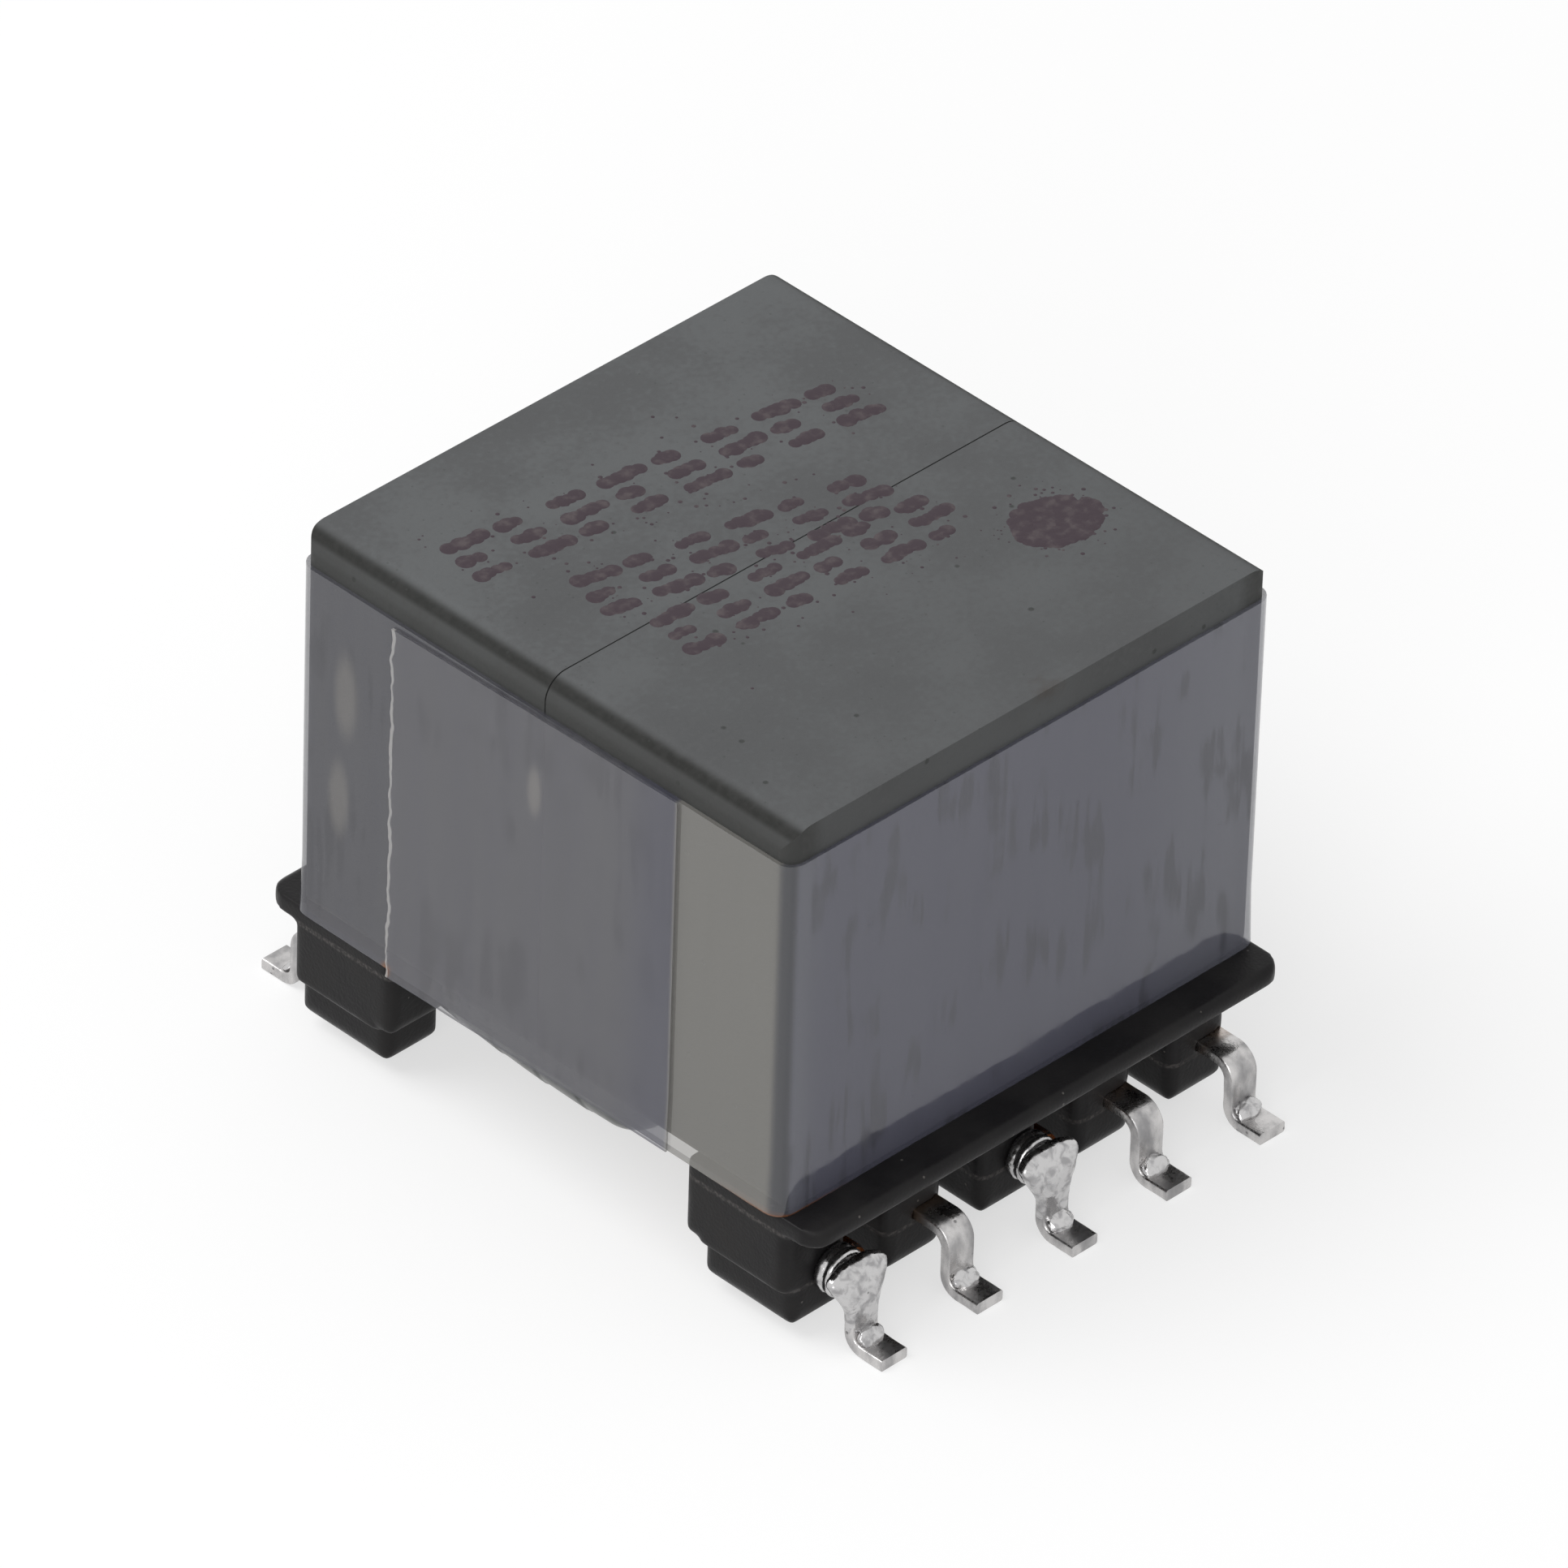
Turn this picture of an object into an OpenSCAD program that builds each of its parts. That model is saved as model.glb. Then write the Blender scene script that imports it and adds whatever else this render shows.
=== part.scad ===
// Surface-mount transformer on an EP13-size ferrite core, ten gull-wing terminals.
// X runs along the terminal rows, Y along the winding axis, Z up from the board.
// The origin is on the board under the middle of the part. Millimetres.

/* [Core] */
// Width of the ferrite core, along the terminal rows
core_w = 12.4; // [12.2:0.1:13.4]
// Length of the closed core, along the winding axis
core_l = 12.8; // [12.4:0.1:14]
// Height of the ferrite core
core_h = 8.75; // [8.6:0.05:10]
// Depth of the winding space in each half
window_depth = 4.6; // [4.2:0.1:4.8]
// Radius of the winding space
window_r = 5; // [4.9:0.05:5.4]
// Height of the winding axis over the open edge of the core
axis_h = 2.4; // [2.3:0.05:2.8]
// Radius of the centre post
post_r = 2.175; // [1.8:0.025:2.25]
// Air gap ground into the rear centre post
air_gap = 0.12; // [0.04:0.02:0.4]
// Glue line between the two halves
glue_line = 0.03; // [0.02:0.01:0.08]
// Radius of the four long edges
long_edge_r = 0.5; // [0.3:0.05:0.7]
// Radius of the four upright edges
upright_edge_r = 0.3; // [0.2:0.05:0.5]

/* [Bobbin] */
// Clearance between post and bobbin tube
post_clear = 0.12; // [0.06:0.02:0.2]
// Wall of the bobbin tube
tube_wall = 0.5; // [0.35:0.05:0.55]
// Thickness of each flange
flange_t = 0.6; // [0.45:0.05:0.75]
// Clearance between flange and core, all round
flange_clear = 0.1; // [0.06:0.02:0.2]
// Height of the rail tops, where the core stands
rail_top = 3; // [2.95:0.05:3.4]
// Thickness of the shelf that runs along each rail
shelf_t = 0.4; // [0.3:0.05:0.6]
// How far the shelf stands out past the core
shelf_reach = 0.95; // [0.8:0.05:1]
// How far the teeth stand out past the core
tooth_reach = 0.2; // [0.1:0.05:0.3]
// Rail length past the last terminal axes
rail_end = 1.2; // [1.15:0.05:1.5]
// Height of the ledge over the board
ledge_z = 1.2; // [1.1:0.05:1.22]
// Standoff under the feet of the bobbin
foot_z = 0.25; // [0.15:0.05:0.4]
// How far the feet are set back from the coil side of the rail
foot_inset = 0.32; // [0.2:0.02:0.4]
// Ledge between the rail and its first foot, at the end
foot_step = 0.22; // [0.1:0.02:0.4]
// Depth of the wire slots in the outer face
slot_depth = 0.85; // [0.6:0.05:1.2]
// Width of a wire slot
slot_w = 1; // [0.8:0.05:1.05]
// Rail material beside a terminal, on its slot side
slot_wall = 0.11; // [0.08:0.01:0.15]
// Radius of the upright corners of the rails
rail_corner_r = 0.5; // [0.3:0.05:0.6]
// Radius of the lower edges of a rail
rail_edge_r = 0.28; // [0.15:0.01:0.3]
// Radius of the lower edges of the feet
foot_edge_r = 0.38; // [0.2:0.02:0.42]
// Radius of the upright edges of the feet
foot_corner_r = 0.24; // [0.15:0.01:0.3]
// Radius of the ledge over the first foot
ledge_r = 0.06; // [0.04:0.01:0.1]
// Radius of the nose edges of the shelf
shelf_edge_r = 0.15; // [0.08:0.01:0.15]

/* [Terminals] */
// Terminals in each row
pins = 5; // [3:1:5]
// Distance between terminal axes
pitch = 2.5; // [2.45:0.05:2.6]
// Width of a terminal strip
pin_w = 0.68; // [0.5:0.02:0.76]
// Thickness of a terminal strip
pin_t = 0.25; // [0.2:0.01:0.28]
// Height of the strip's underside where it leaves the rail
pin_z = 1.25; // [1.22:0.01:1.32]
// Outer face of the upright leg, past the core
leg_reach = 1.15; // [1.05:0.05:1.4]
// Tip of the solder foot, past the core
toe_reach = 1.9; // [1.75:0.05:2.3]
// Inner radius of the upper bend
knee_r = 0.25; // [0.15:0.01:0.3]
// Inner radius of the lower bend
ankle_r = 0.2; // [0.12:0.01:0.25]
// Length of strip moulded into the rail
pin_anchor = 1.5; // [1:0.1:1.9]

/* [Windings] */
// Clearance between the windings and each flange
wind_side = 0.06; // [0.04:0.02:0.2]
// Radial clearance from layer to layer
layer_gap = 0.02; // [0.01:0.01:0.03]
// Diameter of the primary wire
primary_d = 0.24; // [0.16:0.02:0.26]
// Diameter of the secondary wire over its insulation
secondary_d = 0.42; // [0.3:0.02:0.44]
// Thickness of the tape between windings
inter_tape_t = 0.09; // [0.05:0.01:0.1]
// Thickness of the tape round the finished coil
wrap_t = 0.3; // [0.15:0.01:0.32]
// Thickness of the last lap of that tape
lap_t = 0.05; // [0.03:0.01:0.06]
// Radius of the taped bundle of lead-outs beside the coil
bundle_r = 0.98; // [0.8:0.02:1]
// Length of the bundle
bundle_l = 5.6; // [4:0.1:5.8]
// How far its axis lies inside the side of the winding space
bundle_inset = 0.7; // [0.6:0.05:0.9]
// How far its axis lies under the core
bundle_drop = 0.9; // [0.8:0.05:1]

/* [Leads] */
// Diameter of a lead
lead_d = 0.22; // [0.16:0.02:0.24]
// Gap between the leads and the ledge over them
lead_gap = 0.04; // [0.02:0.01:0.1]
// Length over which a lead bends away from the coil
lead_ease = 0.9; // [0.8:0.05:1]
// Turns of lead round a terminal
wrap_turns = 2; // [1:1:2]
// Radius of those turns
wrap_r = 0.5; // [0.46:0.01:0.55]
// Width of the solder head on a wrapped terminal
solder_w = 1.45; // [1.1:0.05:1.5]
// Height of the top of the solder head over the strip
solder_rise = 0.3; // [0.2:0.05:0.4]
// Thickness of the solder at its rim
solder_rim = 0.15; // [0.1:0.01:0.18]
// Skin of solder down the leg
solder_skin = 0.03; // [0.02:0.01:0.06]

/* [Core tape] */
// Width of the tape round the core
tape_w = 8; // [7.5:0.1:8]
// Thickness of the tape
tape_t = 0.06; // [0.04:0.01:0.1]
// Adhesive between tape and core
tape_gap = 0.02; // [0.01:0.01:0.04]
// Start of the second layer, measured from the glue line
lap_from = -3.6; // [-3.8:0.1:-1]
// Cut end of the second layer
lap_to = 3.9; // [1:0.1:5]
// How much lower the second layer lies
lap_drop = 0.14; // [0.1:0.02:0.3]

/* [Hidden] */
$fn = 64;

e = 0.01;                                     // overcut
over = rail_top;                              // how far a cutter reaches past what it cuts
front = -1;                                   // rows, by the sign of Y
rear = 1;
end_y = core_l / 2;                           // end face of the core
axis_z = rail_top + axis_h;                   // winding axis
tube_ri = post_r + post_clear;
tube_ro = tube_ri + tube_wall;
flange_r = window_r - flange_clear;
flange_out = window_depth - flange_clear;     // faces of a flange, along Y
flange_in = flange_out - flange_t;
rail_w = (pins - 1) * pitch + 2 * rail_end;
rail_out = end_y + tooth_reach;
shelf_out = end_y + shelf_reach;
leg_y = end_y + leg_reach;
toe_y = end_y + toe_reach;
knee_y = leg_y - pin_t - knee_r;              // centre of the upper bend
wind_l = 2 * (flange_in - wind_side);
coil_ri = tube_ro + layer_gap;
inner_ro = coil_ri + 2 * primary_d;
tape1_ri = inner_ro + layer_gap;
second_ri = tape1_ri + inter_tape_t + layer_gap;
second_ro = second_ri + secondary_d;
tape2_ri = second_ro + layer_gap;
outer_ri = tape2_ri + inter_tape_t + layer_gap;
outer_ro = outer_ri + primary_d;
wrap_ri = outer_ro + layer_gap;
coil_r = wrap_ri + wrap_t;
bundle_x = -(window_r - bundle_inset);                // lead-outs hang below the core's side wall
bundle_z = rail_top - bundle_drop;
bundle_y = flange_in - wind_side;
lead_z = ledge_z - lead_d / 2 - lead_gap;     // leads run just under the ledge

function pin_x(i) = (i - (pins - 1) / 2) * pitch;
function slot_x(i) = pin_x(i) + pin_w / 2 + slot_wall + slot_w / 2;

// Rectangle with its own radius for the two lower and the two upper corners.
module round_rect(w, h, low, high) {
    for (s = [-1, 1]) {
        translate([s * (w / 2 - low), low]) circle(low);
        translate([s * (w / 2 - high), h - high]) circle(high);
    }
    translate([-w / 2 + low, 0]) square([w - 2 * low, h / 2]);
    translate([-w / 2, low]) square([w, h - low - high]);
    translate([-w / 2 + high, h / 2]) square([w - 2 * high, h / 2]);
}

// Prism along Y from a profile drawn in X and Z.
module along_y(y0, y1) {
    translate([0, y1, 0]) rotate([90, 0, 0]) linear_extrude(y1 - y0) children();
}

// Prism along X, centred, from a profile drawn in Y and Z.
module along_x(w) {
    translate([-w / 2, 0, 0]) rotate([90, 0, 90]) linear_extrude(w) children();
}

// Body of revolution round the winding axis, from a profile drawn in radius and Y.
module round_axis() {
    translate([0, 0, axis_z]) rotate([-90, 0, 0]) rotate_extrude() children();
}

module row(side) {
    if (side == front) mirror([0, 1, 0]) children();
    else children();
}

// ---- ferrite core ----

// One half: rounded block, U-shaped winding space open at the board side, centre post.
module core_half(side, gap) {
    color([0.30, 0.32, 0.31]) row(side) {
        difference() {
            intersection() {
                along_y(glue_line / 2, end_y) translate([0, rail_top])
                    round_rect(core_w, core_h, long_edge_r, long_edge_r);
                translate([0, -end_y, rail_top - e]) linear_extrude(core_h + 2 * e)
                    round_rect(core_w, 2 * end_y, upright_edge_r, upright_edge_r);
            }
            along_y(-e, window_depth) translate([0, axis_z]) {
                circle(window_r, $fn = 96);
                translate([-window_r, -axis_h - over]) square([2 * window_r, axis_h + over]);
            }
        }
        along_y(glue_line / 2 + gap, window_depth + e) translate([0, axis_z]) circle(post_r);
    }
}

module core_front() core_half(front, 0);
module core_rear() core_half(rear, air_gap);

// ---- bobbin ----

// Block from |Y| y0 to y1, rising from z0 into the shelf, its lower and upright edges rounded.
module rail_block(x0, x1, y0, y1, z0, low_r, corner_r) {
    w = x1 - x0;
    h = rail_top - shelf_t / 2 - z0;
    translate([(x0 + x1) / 2, 0, 0]) intersection() {
        along_x(w) translate([(y0 + y1) / 2, z0]) round_rect(y1 - y0, h, low_r, shelf_edge_r);
        along_y(y0, y1) translate([0, z0]) round_rect(w, h, low_r, shelf_edge_r);
        translate([0, y0, 0]) linear_extrude(rail_top) round_rect(w, y1 - y0, corner_r, corner_r);
    }
}

// One tooth with its foot; the first one has a ledge at the end of the rail.
module tooth(i) {
    from = i == 0 ? -rail_w / 2 + foot_step : slot_x(i - 1) + slot_w / 2;
    to = pin_x(i) + pin_w / 2 + slot_wall;
    rail_block(from, to, flange_in + foot_inset, rail_out, foot_z, foot_edge_r, foot_corner_r);
    if (i == 0)
        rail_block(-rail_w / 2, to, flange_in + foot_inset, rail_out, ledge_z, ledge_r, foot_corner_r);
}

// Terminal rail: shelf, beam under it, and teeth with the wire slots between them.
module rail() {
    depth = shelf_out - flange_in;
    intersection() {
        along_x(rail_w) translate([flange_in + depth / 2, rail_top - shelf_t])
            round_rect(depth, shelf_t, shelf_edge_r, shelf_edge_r);
        translate([0, flange_in, 0]) linear_extrude(rail_top)
            round_rect(rail_w, depth, foot_corner_r, rail_corner_r);
    }
    rail_block(-rail_w / 2, rail_w / 2, flange_in, rail_out - slot_depth, ledge_z,
        rail_edge_r, foot_corner_r);
    for (i = [0 : pins - 1]) tooth(i);
}

module flange() {
    along_y(flange_in, flange_out) translate([0, axis_z]) {
        circle(flange_r, $fn = 96);
        translate([-flange_r, -axis_h - shelf_t / 2]) square([2 * flange_r, axis_h + shelf_t / 2]);
    }
}

module bobbin() {
    color([0.13, 0.13, 0.14]) difference() {
        union() {
            along_y(-flange_out, flange_out) translate([0, axis_z]) circle(tube_ro);
            for (side = [front, rear]) row(side) {
                flange();
                rail();
            }
        }
        along_y(-flange_out - e, flange_out + e) translate([0, axis_z]) circle(tube_ri);
        for (side = [front, rear]) row(side) for (i = [0 : pins - 1]) {
            translate([pin_x(i), 0, 0]) pin_root();
            translate([slot_x(i) - slot_w / 2, flange_in - e, 0]) cube([slot_w, flange_t + 2 * e, ledge_z]);
        }
    }
}

// ---- terminals ----

// Strip inside the rail; the rail is moulded round it.
module pin_root() {
    translate([-pin_w / 2, rail_out - pin_anchor, pin_z]) cube([pin_w, pin_anchor, pin_t]);
}

// Quarter bend: strip of thickness pin_t on the outside of radius r.
module bend(r) {
    intersection() {
        difference() {
            circle(r + pin_t);
            circle(r);
        }
        square(r + pin_t + over);
    }
}

// Side view of a formed terminal: straight root, knee, leg, ankle, foot.
module pin_profile() {
    translate([rail_out - pin_anchor, pin_z]) square([knee_y - rail_out + pin_anchor, pin_t]);
    translate([knee_y, pin_z - knee_r]) bend(knee_r);
    translate([leg_y - pin_t, pin_t + ankle_r])
        square([pin_t, pin_z - knee_r - pin_t - ankle_r]);
    translate([leg_y + ankle_r, pin_t + ankle_r]) rotate(180) bend(ankle_r);
    translate([leg_y + ankle_r, 0]) square([toe_y - leg_y - ankle_r, pin_t]);
}

module terminal(side, i) {
    color([0.75, 0.76, 0.77]) row(side) translate([pin_x(i), 0, 0]) along_x(pin_w) pin_profile();
}

// ---- windings ----

// Close-wound layer: smooth inside, one bead for each turn outside.
module winding(ri, ro, d) {
    n = floor(wind_l / d);
    step = (wind_l - d) / (n - 1);
    color([0.72, 0.42, 0.20]) round_axis() {
        translate([ri, -wind_l / 2]) square([ro - d / 2 - ri, wind_l]);
        for (k = [0 : n - 1])
            translate([ro - d / 2, -wind_l / 2 + d / 2 + k * step]) circle(d = d, $fn = 24);
    }
}

// Turns of tape over a winding.
module tape_layer(ri, t, c) {
    color(c) round_axis() translate([ri, -wind_l / 2]) square([t, wind_l]);
}

module winding_primary_inner() winding(coil_ri, inner_ro, primary_d);
module tape_inner() tape_layer(tape1_ri, inter_tape_t, [0.85, 0.70, 0.25]);
module winding_secondary() winding(second_ri, second_ro, secondary_d);
module tape_middle() tape_layer(tape2_ri, inter_tape_t, [0.85, 0.70, 0.25]);
module winding_primary_outer() winding(outer_ri, outer_ro, primary_d);

// Outer tape, with the step where its last lap ends under the coil.
module coil_wrap() {
    r = coil_r + lap_t;
    color([0.12, 0.15, 0.14]) along_y(-wind_l / 2, wind_l / 2) translate([0, axis_z]) difference() {
        union() {
            circle(coil_r, $fn = 96);
            intersection() {
                circle(r, $fn = 96);
                rotate(160) translate([-r - over, 0]) square([2 * r + 2 * over, r + over]);
            }
        }
        circle(wrap_ri, $fn = 96);
    }
}

// Taped bundle of lead-outs beside the coil, with a domed end.
module lead_bundle() {
    r = bundle_r;
    color([0.12, 0.15, 0.14]) difference() {
        translate([bundle_x, bundle_y, bundle_z]) rotate([90, 0, 0]) {
            cylinder(h = bundle_l - r, r1 = r * 0.94, r2 = r);
            translate([0, 0, bundle_l - r]) sphere(r);
        }
        along_y(-flange_in, flange_in) translate([0, axis_z]) circle(coil_r + lap_t + layer_gap, $fn = 96);
    }
}

// ---- leads ----

function unit(v) = v / norm(v);

// Route with its corners cut n times, so that a wire bends smoothly.
function soften(p, n) = n == 0 ? p : soften([
    p[0],
    for (k = [0 : len(p) - 2]) each [p[k] * 0.75 + p[k + 1] * 0.25, p[k] * 0.25 + p[k + 1] * 0.75],
    p[len(p) - 1]
], n - 1);

// Round wire swept along the route p.
module wire(p, sides = 10) {
    n = len(p);
    rings = [
        for (k = [0 : n - 1])
            let (t = unit(p[min(k + 1, n - 1)] - p[max(k - 1, 0)]),
                 u = unit(cross(t, [1, 0, 0.2])), v = cross(t, u))
            for (s = [0 : sides - 1])
                p[k] + lead_d / 2 * (cos(360 * s / sides) * u + sin(360 * s / sides) * v)
    ];
    polyhedron(rings, [
        [for (s = [0 : sides - 1]) s],
        [for (s = [sides - 1 : -1 : 0]) (n - 1) * sides + s],
        for (k = [0 : n - 2], s = [0 : sides - 1]) let (a = k * sides + s, b = k * sides + (s + 1) % sides)
            each [[a, a + sides, b], [b, a + sides, b + sides]]
    ]);
}

// Lead from under the coil, or from the bundle, below the rail and up its slot to the terminal.
module lead(side, i) {
    x = slot_x(i);
    from_bundle = side == front && i == 0;
    under = coil_r + lap_t + layer_gap + lead_d / 2;
    z = axis_z - sqrt(pow(under, 2) - pow(x, 2));
    start = from_bundle
        ? [[bundle_x, bundle_l - bundle_y + lead_d / 4, bundle_z - lead_d],
           [x, flange_in - lead_ease, lead_z + lead_ease / 3],
           [x, flange_in - lead_d, lead_z]]
        : [[x, flange_in - 2 * lead_ease, z],
           [x, flange_in - lead_ease, z],
           [x, flange_in - lead_ease / 3, min(z, lead_z)],
           [x, flange_in + lead_ease / 6, min(z, lead_z)]];
    color([0.72, 0.42, 0.20]) row(side) wire(soften([
        each start,
        [x, flange_in + 0.8 * flange_t, lead_z],
        [x, rail_out - slot_depth + lead_gap, lead_z],
        [x, rail_out - lead_ease / 3, lead_z + lead_gap / 2],
        [pin_x(i) + wrap_r + lead_d / 2 + e, rail_out + lead_d / 2 + e, pin_z + pin_t / 2]
    ], 2));
}

// Turns of the lead round a terminal, run together with solder.
module turns(side, i) {
    color([0.75, 0.76, 0.77]) row(side) translate([pin_x(i), 0, pin_z + pin_t / 2]) difference() {
        translate([0, rail_out + e, 0]) rotate([-90, 0, 0]) rotate_extrude() {
            square([wrap_r - lead_d / 2, wrap_turns * lead_d]);
            for (k = [0 : wrap_turns - 1])
                translate([wrap_r - lead_d / 2, (k + 0.5) * lead_d]) circle(d = lead_d, $fn = 24);
        }
        translate([-pin_w / 2, rail_out - over, -pin_t / 2]) cube([pin_w, 2 * over, pin_t]);
    }
}

// Solder head: a domed fan over the turns, drawn down to the width of the leg.
module solder(side, i) {
    z = pin_z + pin_t / 2;
    y0 = rail_out + wrap_turns * lead_d + 2 * e;
    dome = solder_w / 3;
    color([0.75, 0.76, 0.77]) row(side) translate([pin_x(i), 0, 0]) difference() {
        hull() {
            for (s = [-1, 1])
                translate([s * (solder_w / 2 - solder_rim), y0 + solder_rim, z + solder_rise / 2])
                    sphere(solder_rim, $fn = 24);
            translate([0, y0, z + pin_t / 2 + solder_rise - dome]) rotate([-90, 0, 0])
                cylinder(h = 2 * solder_rim, r1 = dome, r2 = dome - 2 * solder_skin, $fn = 32);
            translate([-pin_w / 2 - solder_skin, leg_y - pin_t - solder_skin, z - pin_t - solder_rise])
                cube([pin_w + 2 * solder_skin, pin_t + 2 * solder_skin, solder_skin]);
        }
        along_x(pin_w) pin_profile();
    }
}

// ---- tape round the core ----

module tape_plan(grow) {
    translate([0, -end_y - grow]) round_rect(core_w + 2 * grow, core_l + 2 * grow,
        upright_edge_r + grow, upright_edge_r + grow);
}

// One closed turn, standing on the shelves of the bobbin.
module core_tape() {
    color([0.55, 0.55, 0.60]) translate([0, 0, rail_top]) linear_extrude(tape_w) difference() {
        tape_plan(tape_gap + tape_t);
        tape_plan(tape_gap);
    }
}

// Overlap of the tape on the side face.
module core_tape_lap() {
    color([0.60, 0.60, 0.66])
        translate([-core_w / 2 - tape_gap - 2 * tape_t, lap_from, rail_top - lap_drop])
            cube([tape_t, lap_to - lap_from, tape_w]);
}

core_front();
core_rear();
bobbin();
winding_primary_inner();
tape_inner();
winding_secondary();
tape_middle();
winding_primary_outer();
coil_wrap();
lead_bundle();
core_tape();
core_tape_lap();
terminal(front, 0);  // terminal_front_1
terminal(front, 1);  // terminal_front_2
terminal(front, 2);  // terminal_front_3
terminal(front, 3);  // terminal_front_4
terminal(front, 4);  // terminal_front_5
terminal(rear, 0);  // terminal_rear_1
terminal(rear, 1);  // terminal_rear_2
terminal(rear, 2);  // terminal_rear_3
terminal(rear, 3);  // terminal_rear_4
terminal(rear, 4);  // terminal_rear_5
lead(front, 0);  // lead_front_1
lead(front, 2);  // lead_front_3
lead(rear, 1);  // lead_rear_2
lead(rear, 3);  // lead_rear_4
turns(front, 0);  // turns_front_1
turns(front, 2);  // turns_front_3
turns(rear, 1);  // turns_rear_2
turns(rear, 3);  // turns_rear_4
solder(front, 0);  // solder_front_1
solder(front, 2);  // solder_front_3
solder(rear, 1);  // solder_rear_2
solder(rear, 3);  // solder_rear_4
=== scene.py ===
"""The look of a small power transformer for a circuit board, dressed over its CAD frame."""

from __future__ import annotations

import logging
import math
from dataclasses import dataclass, field
from enum import Enum
from typing import Any

import bmesh
import bpy
import numpy as np
from mathutils import Matrix, Vector, noise


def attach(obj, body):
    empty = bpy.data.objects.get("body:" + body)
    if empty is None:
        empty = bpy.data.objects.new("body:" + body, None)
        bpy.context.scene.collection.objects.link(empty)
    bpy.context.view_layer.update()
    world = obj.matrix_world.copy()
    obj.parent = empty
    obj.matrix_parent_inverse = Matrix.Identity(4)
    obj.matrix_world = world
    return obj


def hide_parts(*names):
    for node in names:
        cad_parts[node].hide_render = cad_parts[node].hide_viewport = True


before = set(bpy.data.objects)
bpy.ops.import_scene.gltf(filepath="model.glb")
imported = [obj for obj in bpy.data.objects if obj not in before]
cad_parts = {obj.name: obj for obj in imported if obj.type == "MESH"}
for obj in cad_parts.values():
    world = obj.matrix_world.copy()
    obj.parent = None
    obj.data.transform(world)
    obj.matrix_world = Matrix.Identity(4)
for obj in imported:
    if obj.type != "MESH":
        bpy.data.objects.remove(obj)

MM = 0.001
Triple = tuple[float, float, float]
Socket = bpy.types.NodeSocket
log = logging.getLogger("transformer")


class Row(Enum):
    """The two rows of terminals, by the side of the bobbin that they leave."""

    FRONT = -1
    REAR = 1


def tone(red: float, green: float, blue: float) -> tuple[float, float, float, float]:
    """Turns a display colour into the linear colour that a shader takes.

    Args:
        red: Red, 0 to 255.
        green: Green, 0 to 255.
        blue: Blue, 0 to 255.

    Returns:
        The colour as linear red, green, blue and alpha.
    """
    parts = [c / 255 for c in (red, green, blue)]
    linear = [c / 12.92 if c <= 0.04045 else ((c + 0.055) / 1.055) ** 2.4 for c in parts]
    return (*linear, 1.0)


# --------------------------------------------------------------------------- materials


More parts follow.
